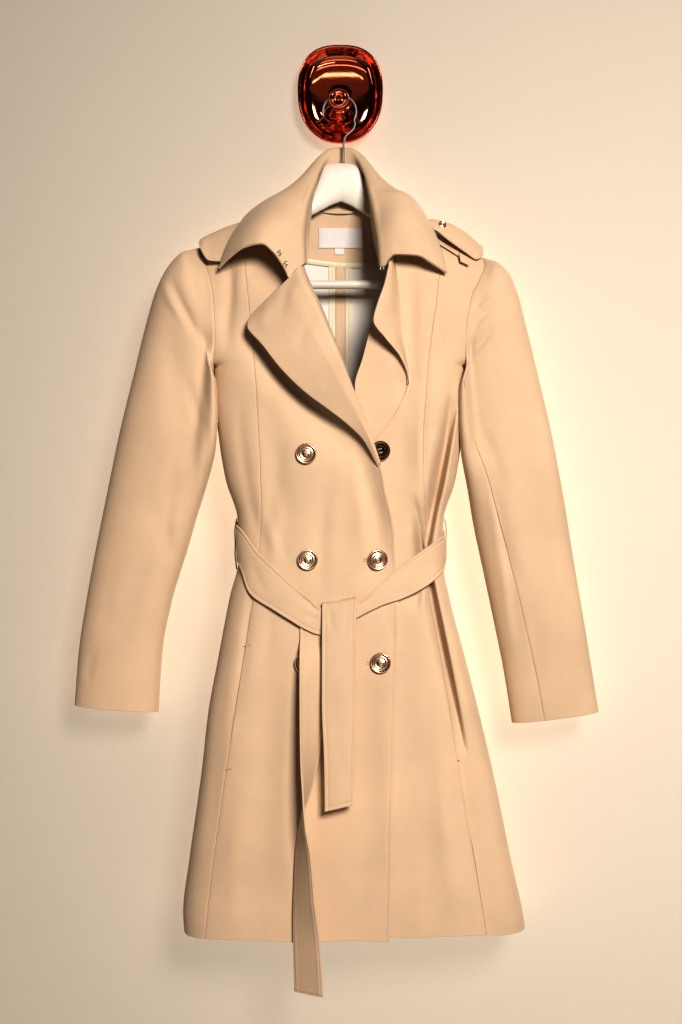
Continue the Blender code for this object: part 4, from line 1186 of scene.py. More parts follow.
def hang(cloth, *nodes, rests_on, held="hung"):
    """A sheet of the coat's cloth, which stands for its nodes."""
    place(cloth.object, "coat_cloth", *nodes)


def spread_out(name, grid, across, down, step, wall, edges, nodes=None, rests_on=(), held="hung", **form):
    """A sheet of the coat's cloth on a grid, laid out closer near its edges."""
    cloth = Cloth(name + "_cloth", laid_both(grid, across, down, step), wall, edges, **form)
    hang(cloth, *(nodes or [name]), rests_on=rests_on, held=held)
    return cloth


def sew(cloth, *edges):
    """Notes the edges of a sheet that show a line of stitches."""
    sewing.extend(cloth.line(edge) for edge in edges)


def at_pitch(points, ways, pitch):
    """Places, ways along and ways out at even steps of a line."""
    run = run_along(points[None])[0]
    count = max(2, round(run[-1] / pitch))
    at = (np.arange(count) + 0.5) * run[-1] / count
    spots = np.stack([np.interp(at, run, points[:, k]) for k in range(3)], 1)
    tangent = np.gradient(points, run, axis=0)
    along = unit(np.stack([np.interp(at, run, tangent[:, k]) for k in range(3)], 1))
    out = unit(np.stack([np.interp(at, run, ways[:, k]) for k in range(3)], 1))
    return spots, along, out


def stitches(name, lines, look, long=2.5, pitch=3.4, wide=0.32, high=0.3, slant=0.0):
    """One mesh of small lens-shaped stitches along lines of points and ways out."""
    points, faces = [], []
    for path, ways in lines:
        spots, along, out = at_pitch(path, ways, pitch)
        beside = unit(np.cross(out, along))
        run = along * math.cos(slant) + beside * math.sin(slant)
        beside = np.cross(out, run)
        corners = np.stack(
            [
                spots - run * long / 2, spots + run * long / 2,
                spots + beside * wide, spots - beside * wide,
                spots + out * high, spots - out * high,
            ],
            1,
        )
        for stitch in corners:
            first = 6 * len(points)
            points.append(stitch)
            faces += [tuple(first + k for k in corner) for corner in STITCH_FACES]
    return mesh_object(name, np.concatenate(points), faces, (look,))


def rings_mesh(name, loops, looks):
    """A closed body from closed loops of points, its two ends filled."""
    loops = np.asarray(loops, float)
    count, around = loops.shape[:2]
    points = np.concatenate([loops.reshape(-1, 3), [loops[0].mean(0)], [loops[-1].mean(0)]])
    index = np.arange(count * around).reshape(count, around)
    after = np.roll(index, -1, axis=1)
    faces = stacked(index[:-1], after[:-1], after[1:], index[1:]).reshape(-1, 4).tolist()
    first, last = count * around, count * around + 1
    faces += [(after[0, k], index[0, k], first) for k in range(around)]
    faces += [(index[-1, k], after[-1, k], last) for k in range(around)]
    return mesh_object(name, points, faces, looks)


def smooth_path(points, count):
    """A path with rounded turns through the given points, at even steps."""
    points = np.asarray(points, float)
    run = run_along(points[None])[0]
    places = np.linspace(0, run[-1], count)
    columns = []
    for k in range(points.shape[1]):
        slope = np.gradient(points[:, k], run)
        low = np.clip(np.searchsorted(run, places) - 1, 0, len(run) - 2)
        step = run[low + 1] - run[low]
        t = (places - run[low]) / step
        rise = t * t * (3 - 2 * t)
        bend = t * (1 - t) ** 2 * step * slope[low] - t * t * (1 - t) * step * slope[low + 1]
        columns.append(points[low, k] + rise * (points[low + 1, k] - points[low, k]) + bend)
    return np.stack(columns, 1)


def rod(name, path, radius, look, around=20):
    """A round bar along a path, its ends domed."""
    path = np.asarray(path, float)
    along = unit(np.gradient(path, axis=0))
    helper = np.array((0, -1.0, 0)) if abs(along[0][1]) < 0.9 else np.array((0, 0, 1.0))
    first = unit(np.cross(along, np.cross(helper, along)))
    second = np.cross(along, first)
    angles = np.arange(around) * 2 * math.pi / around
    circle = first[:, None] * np.cos(angles)[:, None] + second[:, None] * np.sin(angles)[:, None]
    loops = path[:, None] + circle * radius
    dome = [(share, math.sqrt(1 - share * share)) for share in DOME]
    start = [path[0] - along[0] * radius * s + circle[0] * radius * c for s, c in reversed(dome)]
    end = [path[-1] + along[-1] * radius * s + circle[-1] * radius * c for s, c in dome]
    loops = np.concatenate([np.array(start), loops, np.array(end)])
    return rings_mesh(name, loops, (look,))


def line_at(name):
    return lambda z: LINES.at(name, z)


def lap(x, z):
    """The under front lies this much further in where the other front covers it."""
    share = ramp(-x, -LAP_TO, -LAP_FROM)
    near = bell(z - COVERED_BUTTON_Z, COVERED_BUTTON_REACH)
    low = np.clip((LAP_START - z) / LAP_FADE, 0.0, 1.0)
    return (LAP_DROP + COVERED_BUTTON_DROP * near) * low * share


def pocket_gape(z):
    """How far a pocket's mouth stands open along the front's long seam."""
    above = ramp(z, POCKET_LOW, POCKET_LOW + POCKET_FADE)
    return above * ramp(-z, -POCKET_TOP, -POCKET_TOP + POCKET_FADE)


def pocket_over(away, grid):
    lip = POCKET_LIP * pocket_gape(grid[..., 2]) * bell(away, POCKET_LIP_HALF)
    return seam(away, grid) + lip


def pocket_under(away, grid):
    sunk = POCKET_SINK * pocket_gape(grid[..., 2]) * bell(away, POCKET_SINK_HALF)
    return seam(away, grid) - sunk


def fold_under(away, grid):
    """Beside the left front the side panel sinks under it, from the chest to the hem."""
    z = grid[..., 2]
    sunk = FOLD_SINK.at("sink", z) * bell(away, FOLD_SINK.at("half", z))
    return seam(away, grid) - sunk


def fold_over(away, grid):
    """The left front's long edge rolls over and down to the sunken side panel."""
    z = grid[..., 2]
    lip = FOLD_SINK.at("lip", z) * bell(away - LIP_AT, LIP_AT)
    return seam(away, grid) + lip - FOLD_SINK.at("sink", z) * bell(away, FOLD_EDGE_HALF)


def hollow(x, z):
    """The front sinks a little below the right lapel's outer edge."""
    return crease_depth(x, z, CREASES["hollow"])


def edge_roll(away, grid):
    """The right front's edge stands forward below the lapel, and lies flat from the belt down."""
    z = grid[..., 2]
    rise = EDGE_ROLL * ramp(-z, *ROLL_STARTS) * ramp(z, *ROLL_ENDS)
    dip = ROLL_DIP * rise * bell(away - ROLL_DIP_AT, ROLL_DIP_HALF)
    return stitched(away, grid) + rise * bell(away, ROLL_HALF) - dip


def body_levels(side, low):
    top = SHOULDER_TOP[side]
    shoulder = np.linspace(NECK_TOP, top, SHOULDER_ROWS)
    armhole = np.linspace(top, UNDERARM, ARMHOLE_ROWS)[1:]
    below = np.linspace(UNDERARM, low + HEM_CLOSE, SKIRT_ROWS)[1:]
    return np.concatenate([shoulder, armhole, below, low + np.array(HEM_NEAR)])


def body_panel(name, side, face, inner, outer, low, edges, near, drop=None, step=BODY_STEP):
    """A panel of the body between two lines, each a function of the level.

    With no outer line it ends at the shoulder seam, the armhole and the side seam.
    """
    z = body_levels(side, low)[:, None]
    share = row_of(0, 1, PANEL_COLUMNS)
    start = inner(z)
    end = outer(z) if outer else side * half_width(side, z)
    x = start + (end - start) * (share if outer else np.sin(share * math.pi / 2))
    y = surface(x, z, face)
    if drop:
        y = y + drop(x, z)
    grid = stacked(x, y, z)
    grid = laid(grid, near[0], near[1], step)
    fade = ramp(-grid[..., 2], -low - HEM_WAVE_REACH, -low)
    if face == "front":
        grid[..., 2] += fade * HEM_WAVE * np.sin(grid[..., 0] / HEM_WAVE_PACE + HEM_WAVE_TURN)
    turn = (1 if end[-1, 0] > start[-1, 0] else -1) * (1 if face == "front" else -1)
    looks = (cloth_look, inside_look)
    cloth = Cloth(name + "_cloth", grid, CLOTH, edges, turn=turn, looks=looks)
    hang(cloth, name, rests_on=["hanger"])
    return cloth


def body():
    """The coat's body, and the lines of stitches that show on it."""
    body_panel(
        "side_front_right", -1, "front", line_at("seam_right"), None, HEM_RIGHT,
        "pocket_under seam plain plain", SEAMED, drop=hollow,
    )
    front_right = body_panel(
        "front_right", -1, "front", line_at("seam_right"), line_at("edge_right"), HEM_RIGHT,
        "pocket_over edge_roll plain plain", (SEAM_NEAR, STITCH_NEAR), drop=hollow,
    )
    body_panel(
        "side_front_left", 1, "front", line_at("seam_left"), None, HEM_LEFT,
        "fold_under seam plain plain", SEAMED, step=BODY_STEP / 4,
    )
    body_panel(
        "front_left", 1, "front", line_at("edge_left"), line_at("seam_left"), HEM_LEFT,
        "stitched fold_over plain plain", (STITCH_NEAR, SEAM_NEAR), drop=lap,
    )
    for side, name in ((-1, "back_right"), (1, "back_left")):
        body_panel(
            name, side, "back", lambda z, s=side: s * 0.02 + 0 * z, None, HEM_LEFT,
            "seam seam plain plain", SEAMED,
        )
    path, ways = front_right.line("last")
    below = path[:, 2] < EDGE_STITCH_FROM
    sewing.append((path[below], ways[below]))
    for x, z, lean in BAR_TACKS:
        bar_tack(x, z, lean)


def bar_tack(x, z, lean):
    """A short dense bar of thread across a pocket's end."""
    share = np.linspace(-0.5, 0.5, 12)
    xs = x + share * BAR_TACK_LONG * math.cos(lean)
    zs = z + share * BAR_TACK_LONG * math.sin(lean)
    path = np.stack([xs, surface(xs, zs, "front") - TACK_OUT, zs], 1)
    ways = np.tile((0, -1.0, 0), (len(path), 1))
    tacks.append((path, ways))


def sleeve_start(side, angle):
    """A point of the armhole, with the sleeve beside it."""
    top = SHOULDER_TOP[side]
    share = (1 - np.cos(angle)) / 2
    z = np.clip(top + (UNDERARM - top) * share, UNDERARM, top)
    x = side * (half_width(side, z) + SLEEVE_START)
    keep = kept_share(side, z)
    ahead = section_depth(side, z, keep, "front")
    behind = section_depth(side, z, keep, "back")
    return stacked(x, np.where(np.sin(angle) >= 0, ahead, behind), z)


def sleeve_fold(side, degrees, z):
    total = 0.0
    for fold in map(SleeveFold._make, SLEEVE_FOLDS[side]):
        share = fold_share(fold, z)
        centre = fold.angle + fold.turn * share
        away = (degrees - centre + 180) % 360 - 180
        across = bell(away, fold.half)
        total = total + fold.depth * hump(share) * across
    return total


def sleeve_tube(side, step, angle):
    row = SLEEVES[side]
    middle = row.at("mid", step)
    inner = stacked(side * row.at("in_x", step), middle, row.at("in_z", step))
    outer = stacked(side * row.at("out_x", step), middle, row.at("out_z", step))
    centre, arm = (inner + outer) / 2, (outer - inner) / 2
    along, through = superellipse(angle, SLEEVE_SQUARE)
    deep = -row.at("half", step) * through
    point = centre + arm * along[..., None]
    point[..., 1] += deep
    sink = sleeve_fold(side, np.degrees(angle) % 360, point[..., 2])
    point = point + unit(centre - point) * sink[..., None]
    point[..., 1] -= SLEEVE_AHEAD[side].at("ahead", step) * ramp(-along, AHEAD_FROM, 1.0)
    return point


def sleeve_point(side, step, angle):
    share = np.minimum(step, 1.0)[..., None]
    start = sleeve_start(side, angle)
    point = start + (sleeve_tube(side, np.maximum(step, 1.0), angle) - start) * share
    x, z, out = point[..., 0], point[..., 2], np.sin(angle)
    point[..., 1] += crease_depth(x, z, CREASES["sleeves"]) * ramp(out, 0.0, SLEEVE_SIDE)
    point[..., 1] -= crease_depth(x, z, CREASES["sleeves_back"]) * ramp(-out, 0.0, SLEEVE_SIDE)
    tuck = np.clip(1 - step / TUCK_REACH, 0, 1)
    point[..., 0] -= side * SLEEVE_TUCK[0] * tuck
    point[..., 1] += SLEEVE_TUCK[1] * tuck * np.clip(3 * np.sin(angle), -1, 1)
    return point


def sleeve_head(away, grid):
    """The armhole seam is pressed into the sleeve, which stands up beside it."""
    risen = bell(away - SLEEVE_HEAD_AT, SLEEVE_HEAD_HALF)
    return SLEEVE_HEAD_RISE * risen - SLEEVE_HEAD_RISE * bell(away, ARMHOLE_SEAM_HALF)


def sleeve(side, wearer):
    """A two-piece sleeve: the top piece goes round the outside, the under piece inside."""
    table = SLEEVES[side]
    steps = np.concatenate([np.linspace(0, 1, 9), np.linspace(1, 11, 130)[1:]])[:, None]
    pieces = (
        ("sleeve_top_" + wearer, BACK_SEAM - 360 + SLEEVE_CLOSE, None),
        ("sleeve_under_" + wearer, None, BACK_SEAM - SLEEVE_CLOSE),
    )
    for name, first, last in pieces:
        front_seam = table.at("seam", steps)
        low = first if first is not None else front_seam + SLEEVE_CLOSE
        high = last if last is not None else front_seam - SLEEVE_CLOSE
        share = row_of(0, 1, 160)
        angles = np.radians(low + (high - low) * share)
        grid = sleeve_point(side, np.broadcast_to(steps, angles.shape), angles)
        spread_out(
            name, grid, SEAMED, (SEAM_NEAR, CUFF_NEAR), SLEEVE_STEP, CLOTH,
            "seam seam sleeve_head plain", rests_on=["hanger"], turn=-side,
            looks=(cloth_look, inside_look),
        )


def collar_lines(step):
    return [COLLAR.point(prefix, step) for prefix in ("fold_", "mid_", "edge_")]


def collar_fall(step, share):
    """The collar's fall, its two front ends drawn to their own curves."""
    grid = through_three(*collar_lines(step), share[..., None])
    for place, near, table in (
        (0.0, np.clip(1 - step, 0, 1), COLLAR_END_RIGHT),
        (10.0, np.clip(step - 9, 0, 1), COLLAR_END_LEFT),
    ):
        plain_end = through_three(*collar_lines(place), share[..., None])
        change = table.point("", share) - plain_end
        grid = grid + change * (near**COLLAR_END_FADE)[..., None]
    return grid


def collar_stand(fold, step, share):
    neck = NECKLINE.point("", step)
    grid = fold + (neck - fold) * stacked(share, np.sqrt(share), share)
    inward = stacked(-grid[..., 0], NECK_MIDDLE - grid[..., 1], 0 * grid[..., 2])
    inward /= np.maximum(np.linalg.norm(inward, axis=-1, keepdims=True), 1.0)
    grid = grid + inward * (STAND_LEAN * (1 - share))[..., None]
    grid[..., 2] -= STAND_DROP * (1 - share)
    return grid


def collar():
    """The collar as one cloth: its stand, the roll over its fold and its turned-down fall."""
    step = row_of(0, 10, 240)
    fold = collar_fall(step, 0 * step)
    stand = collar_stand(fold, step, column_of(1, STAND_TOP, 26) + 0 * step)
    fall = collar_fall(step + 0 * step, column_of(FALL_TOP, 1, 60) + 0 * step)
    off = COLLAR_OFF + (COLLAR_OVER_STRAP - COLLAR_OFF) * ramp(
        np.abs(fall[..., 0]), STRAP_INNER_X - STEP_UP, STRAP_INNER_X + 1
    )
    fall = clear_of_body(fall, off)
    bend = 2 * fold - 0.5 * (stand[-1:] + fall[:1])
    turn = np.linspace(0, 1, 14)[1:-1, None, None]
    roll = stand[-1:] * (1 - turn) ** 2 + 2 * bend * turn * (1 - turn) + fall[:1] * turn**2
    spread_out(
        "collar", np.concatenate([stand, roll, fall]), SEAMED, SEAMED, COLLAR_STEP, DOUBLED,
        "pressed pressed plain pressed", ["collar_fall", "collar_stand"],
        rests_on=["hanger"], held="folded", inward=0.5, turn=-1,
    )


def lapel_right():
    """The wearer's right lapel, turned out over the front."""
    step, share = rounded_corner(
        column_of(0, 1, 180), row_of(0, 1, 90), *LAPEL_CORNER
    )
    step = step * 8
    rise = LAPEL_RIGHT.at("rise", step)
    roll, out = (
        stacked(*(LAPEL_RIGHT.at(prefix + axis, step) for axis in "xz")) for prefix in ("roll_", "out_")
    )
    place_on = roll + (out - roll) * share[..., None]
    bulge = rise * ROLL_BULGE * np.sin(np.pi * np.minimum(share / ROLL_SHARE, 1.0))
    place_on = place_on + unit(roll - out) * bulge[..., None]
    x, z = place_on[..., 0], place_on[..., 1]
    full = np.minimum(share / LIFTED_BY, 1.0) ** 0.5
    lift = rise * full * (1 - LAPEL_DROOP * np.maximum(0, share - ROLL_SHARE))
    lift = lift - crease_depth(x, z, CREASES["lapel"]) * ramp(share, 0.0, ROLL_SHARE)
    z = z + LAPEL_TUCK * np.maximum(0, 1 - share / ROLL_SHARE) * np.maximum(0, 1 - step / 0.5)
    grid = stacked(x, surface(x, z, "front") - lift - LAPEL_OFF, z)
    spread_out(
        "lapel_right", grid, SEAMED, SEAMED, LAPEL_STEP, DOUBLED, "plain pressed pressed plain",
        rests_on=["front_right_cloth"], held="folded", turn=-1,
    )


def rounded_corner(down, across, reach_down, reach_across):
    """Shares down and across a sheet whose top far corner is rounded off."""
    near_top = np.clip(1 - down / reach_down, 0, 1)
    near_edge = np.clip(1 - (1 - across) / reach_across, 0, 1)
    top = near_top * np.sqrt(1 - near_edge**2 / 2)
    edge = near_edge * np.sqrt(1 - near_top**2 / 2)
    down = down + (near_top - top) * reach_down
    across = across - (near_edge - edge) * reach_across
    return down, across


def lapel_left():
    """The wearer's left lapel, which stands forward."""
    step = column_of(-LAPEL_ABOVE, 7, 150)
    share = row_of(-LAPEL_BEHIND, 1, 76)
    x = LAPEL_LEFT.between("fold_x", "free_x", step, share)
    z = LAPEL_LEFT.between("fold_z", "free_z", step, share)
    z = z + UNDER_COLLAR * np.maximum(0, -step) / LAPEL_ABOVE
    sunk, full = LAPEL_LEFT_LIFT
    full = full + (LAPEL_FOOT_LIFT - full) * ramp(step, *LAPEL_FOOT)
    stand = LAPEL_LEFT.at("stand", step) * np.sin(np.maximum(share, 0) * math.pi / 2) ** 1.5
    lift = sunk + (full - sunk) * ramp(share, -LAPEL_BEHIND, 0.45) + stand
    grid = stacked(x - REST, surface(x, z, "front") - lift, z)
    spread_out(
        "lapel_left", grid, SEAMED, SEAMED, LAPEL_STEP, DOUBLED, "plain pressed plain plain",
        rests_on=["front_left_cloth"], held="folded", turn=-1,
    )


def facing_left():
    """The facing behind the left lapel, which runs on under the other front."""
    step = column_of(0, 8, 140)
    share = row_of(0, 1, 60)
    low = np.clip((step - FACING_UNDER) / 1.2, 0.0, 1.0)
    first_x = FACING_LEFT.at("out_x", step) + FACING_REACH * low
    x = first_x * (1 - share) + FACING_LEFT.at("in_x", step) * share
    z = FACING_LEFT.between("out_z", "in_z", step, share)
    behind = lap(x, z) + CLOTH + FACING_CLEAR
    first = FACING_OUT + (behind - FACING_OUT) * low
    sink = first * (1 - share) + behind * share
    grid = stacked(x, surface(x, z, "front") + sink, z)
    spread_out(
        "facing_left", grid, SEAMED, SEAMED, FACING_STEP, CLOTH, "",
        rests_on=["front_left_cloth"], turn=-1,
    )


def belt_strip(node, reach, face, table):
    """A stretch of the belt round the body, between two shares of its half turn."""
    place_x = BELT_REACH * np.sin(np.linspace(*reach, 160) * math.pi / 2)[None, :]
    share = column_of(0, 1, 40)
    top, low = table.at("top", place_x), table.at("low", place_x)
    z = top + (low - top) * share
    side = side_of(place_x)
    wide = half_width(side, z)
    bulge = BELT_BULGE * np.sin(math.pi * share)
    lift = (table.at("lift", place_x) if face == "front" else BELT_BACK_LIFT) + bulge
    ratio = np.minimum(np.abs(place_x) / BELT_REACH, 1.0)
    x = side * wide * ratio * (1 + lift / wide)
    base = side * wide * ratio
    if face == "front":
        depth = surface(base, z, face) - fold_depth(base, z, face) - lift
        depth = depth - crease_depth(base, z, CREASES["front"])
        pinch = crease_depth(x, z, CREASES["belt"])
        depth = depth + pinch
    else:
        depth = surface(base, z, face) + lift + 0.4
    at_side = ramp(ratio, BELT_TURN, 1.0)
    depth = depth * (1 - at_side) + BODY.at("side", z) * at_side
    grid = stacked(x, depth, z)
    cloth = spread_out(
        node, grid, SEAMED, SEWN, BELT_STEP, BELT_CLOTH, "plain plain stitched stitched",
        rests_on=["belt_loop_right", "belt_loop_left"], held="stretched",
        turn=1 if face == "front" else -1,
    )
    sew(cloth, "top", "bottom")


def belt():
    belt_strip("belt_front_right", (-1, -0.008), "front", BELT_FRONT)
    belt_strip("belt_front_left", (0.008, 1), "front", BELT_FRONT)
    belt_strip("belt_back", (-1, 1), "back", BELT_BACK)


def belt_tail(name, grid):
    """A free end of the belt, stitched along its sides and its end."""
    cloth = spread_out(
        name, grid, SEWN, (SEAM_NEAR, STITCH_NEAR), TAIL_STEP, BELT_CLOTH,
        "stitched stitched plain stitched", rests_on=["belt_front_right_cloth"], inward=0.5,
    )
    sew(cloth, "first", "last", "bottom")


def belt_tails():
    """The belt's two free ends below the knot."""
    step = column_of(0, 7, 160)
    share = row_of(0, 1, 40)
    left, right = TAIL_SHORT.at("left", step), TAIL_SHORT.at("right", step)
    x = left + (right - left) * share
    z = TAIL_SHORT.between("z_left", "z_right", step, share)
    bow = SHORT_TAIL_BOW * np.sin(math.pi * share) * ramp(step, 2.6, 3.4)
    pinch = crease_depth(x, z, CREASES["tail"]) * ramp(step, 2.4, 3.2)
    off = TAIL_SHORT.at("off", step) + bow - pinch
    level = surface(x, np.minimum(z, KNOT_FOOT), "front") - off
    belt_tail("belt_tail_short", stacked(x, level, z))
    step = column_of(0, 11, 220)
    share = row_of(-1, 1, 40)
    turn = np.radians(TAIL_LONG.at("turn", step))
    middle, z = TAIL_LONG.at("middle", step), TAIL_LONG.at("z", step)
    across, deep = TAIL_WIDTH / 2 * np.cos(turn), TAIL_WIDTH / 2 * np.sin(turn)
    level = surface(middle, np.maximum(z, HEM_RIGHT), "front") - TAIL_LONG.at("off", step) - deep
    bow = LONG_TAIL_BOW * (1 - share**2) * np.sin(turn)
    belt_tail("belt_tail_long", stacked(middle + share * across - bow, level + share * deep, z))


def belt_loops():
    for side, name in ((-1, "belt_loop_right"), (1, "belt_loop_left")):
        path = smooth_path(LOOP_PATH, 40)
        z, off = path[:, 0][:, None], path[:, 1][:, None]
        across = row_of(-LOOP_HALF, LOOP_HALF, 12)
        x = side * (half_width(side, z) + off)
        y = BODY.at("side", z) - side * across
        grid = stacked(x, y, z)
        cloth = Cloth(name + "_cloth", grid, TAPE, inward=0.5)
        hang(cloth, name, rests_on=["belt_back"])


def strap_point(side, x, share, off):
    """A place on a shoulder strap: share runs from its back edge to its front edge."""
    table = EPAULETTES[side]
    x = np.asarray(x, float) + 0 * np.asarray(share, float)
    back, ridge, front = (
        stacked(x, table.at(prefix + "_y", x), table.at(prefix + "_z", x))
        for prefix in ("back", "ridge", "front")
    )
    point = clear_of_body(through_three(back, ridge, front, np.asarray(share)[..., None]), STRAP_OFF)
    return point + strap_normal(side, x, share) * off if off else point


def strap_normal(side, x, share):
    across = strap_point(side, x, share + 0.03, 0) - strap_point(side, x, share - 0.03, 0)
    along = strap_point(side, x + 3, share, 0) - strap_point(side, x - 3, share, 0)
    way = unit(np.cross(along, across))
    return way * np.where(way[..., 2:] > 0, 1, -1)


def epaulettes():
    """The shoulder straps and the carriers that hold them down."""
    for side, name in ((-1, "epaulette_right"), (1, "epaulette_left")):
        table = EPAULETTES[side]
        x = row_of(table.key[0], table.key[-1], 120)
        share = column_of(0, 1, 60)
        ends = (STITCH_NEAR, SEAM_NEAR) if side < 0 else (SEAM_NEAR, STITCH_NEAR)
        edges = "stitched plain" if side < 0 else "plain stitched"
        cloth = spread_out(
            name, strap_point(side, x, share, 0.0), ends, SEWN, TAIL_STEP, DOUBLED,
            edges + " stitched stitched", rests_on=["hanger"], held="draped", inward=0.5,
        )
        sew(cloth, "first" if side < 0 else "last", "top", "bottom")
        x = STRAP_LOOP_X[side] + row_of(-CARRIER_HALF, CARRIER_HALF, 12)
        share = column_of(0.02, 0.98, 50)
        grid = strap_point(side, x, share, -DOUBLED / 2 - REST)
        node = name.replace("epaulette", "epaulette_loop")
        cloth = Cloth(node + "_cloth", grid, TAPE, inward=1.0)
        hang(cloth, node, rests_on=[name + "_cloth"])
    carrier_end()


def carrier_end():
    """The left carrier shows below its strap as a narrow band with a turned-down end."""
    x = row_of(*BAND_REACH, 40)
    down = column_of(0, 1, 8)
    z = BAND_Z - BAND_SLOPE * (x - BAND_X) + (0.5 - down) * CARRIER_WIDE
    grid = stacked(x, surface(x, z, "front") - STRAP_OFF, z)
    band = Cloth("epaulette_carrier_band", grid, BAND_THICK, inward=0.0)
    hang(band, rests_on=["front_left_cloth"])
    along, down = np.meshgrid(np.linspace(0, 1, 12), np.linspace(0, 1, 14))
    x = TAB_CORNER[0] + TAB_SIZE * along + 2.0 * down
    z = TAB_CORNER[1] - 5.5 * along - TAB_SIZE * down
    y = surface(x, z, "front") - TAB_OFF - TAB_BOW * np.sin(math.pi * down)
    grid = stacked(x, y, z)
    tab = Cloth("epaulette_carrier_tab", grid, BAND_THICK, inward=0.0)
    hang(tab, rests_on=["epaulette_carrier_band"])


def turned_profile(centre, axis, profile, around):
    """Loops of a round piece whose profile is given as radius and height."""
    axis = unit(np.asarray(axis, float))
    across = unit(np.cross(axis, (0, 0, 1.0)))
    up = np.cross(across, axis)
    angles = np.arange(around) * 2 * math.pi / around
    circle = np.cos(angles)[:, None] * across + np.sin(angles)[:, None] * up
    return [np.asarray(centre) + circle * radius + axis * height for radius, height in profile]


def button(name, centre, axis, radius, thick, node=None):
    """A rimmed, dished metal button with four holes sewn through with thread."""
    axis = unit(np.asarray(axis, float))
    profile = smooth_path(np.array(BUTTON_PROFILE) * (radius, thick), 64)
    body_mesh = rings_mesh(
        name + "_metal", turned_profile(centre, axis, profile, 56), (button_look,)
    )
    place(body_mesh, "button_metal", node)
    if name != SHADED_BUTTON:
        bright.append(body_mesh)
    across = unit(np.cross(axis, (0, 0, 1.0)))
    up = np.cross(across, axis)
    face = np.asarray(centre) + axis * thick * BUTTON_FACE
    holes, threads = [], []
    for k in range(4):
        turn = BUTTON_TURN + k * math.pi / 2
        spot = face + (across * math.cos(turn) + up * math.sin(turn)) * radius * HOLE_RING
        holes.append(spot)
        disc = [(wide * radius / FULL_RADIUS, high) for wide, high in HOLE_PROFILE]
        # Each hole is a small dark disc coloured with painted shade, where the hole's inside would lie in
        # shadow.
        hole = rings_mesh(
            f"{name}_hole_{k + 1}", turned_profile(spot, axis, disc, 16), (hole_shade_look,)
        )
        place(hole, "button_metal")
    for one, two in ((0, 1), (2, 3)):
        for shift in (-THREAD_APART, THREAD_APART):
            beside = unit(np.cross(axis, holes[two] - holes[one])) * shift
            share = column_of(0, 1, 10)
            arch = axis * (0.2 + 0.55 * np.sin(math.pi * share))
            threads.append(holes[one] + (holes[two] - holes[one]) * share + arch + beside)
    for k, path in enumerate(threads):
        thread = rod(f"{name}_thread_{k + 1}", path, THREAD_RADIUS * radius / FULL_RADIUS, thread_look, 8)
        place(thread, "coat_cloth")


def buttons():
    for number in range(1, 7):
        x, z = (float(BUTTONS.at(key, number)) for key in ("x", "z"))
        centre = front_point(x, z, REST + 0.3)
        centre[1] += float(BUTTONS.at("under", number))
        lean = surface(x, z + LEAN_OVER, "front") - surface(x, z - LEAN_OVER, "front")
        side_lean = surface(x + LEAN_OVER, z, "front") - surface(x - LEAN_OVER, z, "front")
        axis = (float(side_lean) / (2 * LEAN_OVER), -1.0, float(lean) / (2 * LEAN_OVER))
        radius, thick = (float(BUTTONS.at(key, number)) for key in ("radius", "thick"))
        button(f"button_{number}", centre, axis, radius, thick, f"button_{number}")
        if number in (4, 6):
            buttonhole(f"buttonhole_{number}", x - 5, z)
    spot = strap_point(1, *STRAP_BUTTON, DOUBLED / 2 + REST)
    way = unit(strap_normal(1, *STRAP_BUTTON) + np.array((0, -1.6, 0)))
    button("epaulette_button_left", spot, way, *STRAP_BUTTON_SIZE, "epaulette_button_left")


def front_point(x, z, off):
    return np.array((x, float(surface(x, z, "front")) - off, z))


def buttonhole(name, x, z):
    """Close stitches round a slot that shows beside its button."""
    lines = []
    for level in (BUTTONHOLE_SLOT, -BUTTONHOLE_SLOT):
        xs = np.linspace(x - BUTTONHOLE_HALF, x + BUTTONHOLE_HALF, 20)
        path = np.stack([xs, surface(xs, z + level, "front") - 0.15, 0 * xs + z + level], 1)
        lines.append((path, np.tile((0, -1.0, 0), (len(xs), 1))))
    made = stitches(
        name, lines, thread_look, long=2.3, pitch=0.75, wide=0.42, high=0.35, slant=math.pi / 2
    )
    place(made, "coat_cloth")


def inside():
    """What shows inside the neck: facing, bindings, hanging loop and a bare label."""
    down = column_of(0, 1, 40)
    share = row_of(-1, 1, 90)
    level = NECK_FACING.at("z", down * 5)
    x = NECK_FACING.at("half", down * 5) * share
    low = FACING_LOW.at("z", x)
    z = level + (low - NECK_FACING.at("z", 5.0)) * down**2
    grid = stacked(x, surface(x, z, "back") - CLOTH - REST, z)
    facing = Cloth("facing_back_neck_cloth", grid, TAPE, inward=0.0)
    hang(facing, "facing_back_neck", rests_on=["back_right_cloth"])
    xs = row_of(-65, 65, 120)
    tall = column_of(2.6, -4.6, 10)
    z = FACING_LOW.at("z", xs) + tall
    out = 3.6 + 0.7 * np.sin(np.linspace(0, math.pi, 10))[:, None]
    grid = stacked(xs, surface(xs, z, "back") - out, z)
    binding = Cloth(
        "facing_binding", grid, 0.8, looks=(binding_look, binding_look)
    )
    place(binding.object, "label_cloth")
    middle = len(tall) // 2
    zigzag.append((binding.outer[middle], binding.ways[middle]))
    back_strips()
    label("neck_label", (-31, 31, -186, -213))
    label("neck_label_tab", (-9, 4, -213.2, -222))
    share = row_of(-1, 1, 50)
    drop = 2.2 * (1 - share**2)
    tall = column_of(-161, -165, 8)
    x = 26 * share
    y = surface(x, tall, "back") - CLOTH - REST - TAPE - REST - drop
    grid = stacked(x, y, tall - drop)
    loop = Cloth("hanging_loop_cloth", grid, TAPE, inward=0.0)
    hang(loop, "hanging_loop", rests_on=["back_right_cloth"])


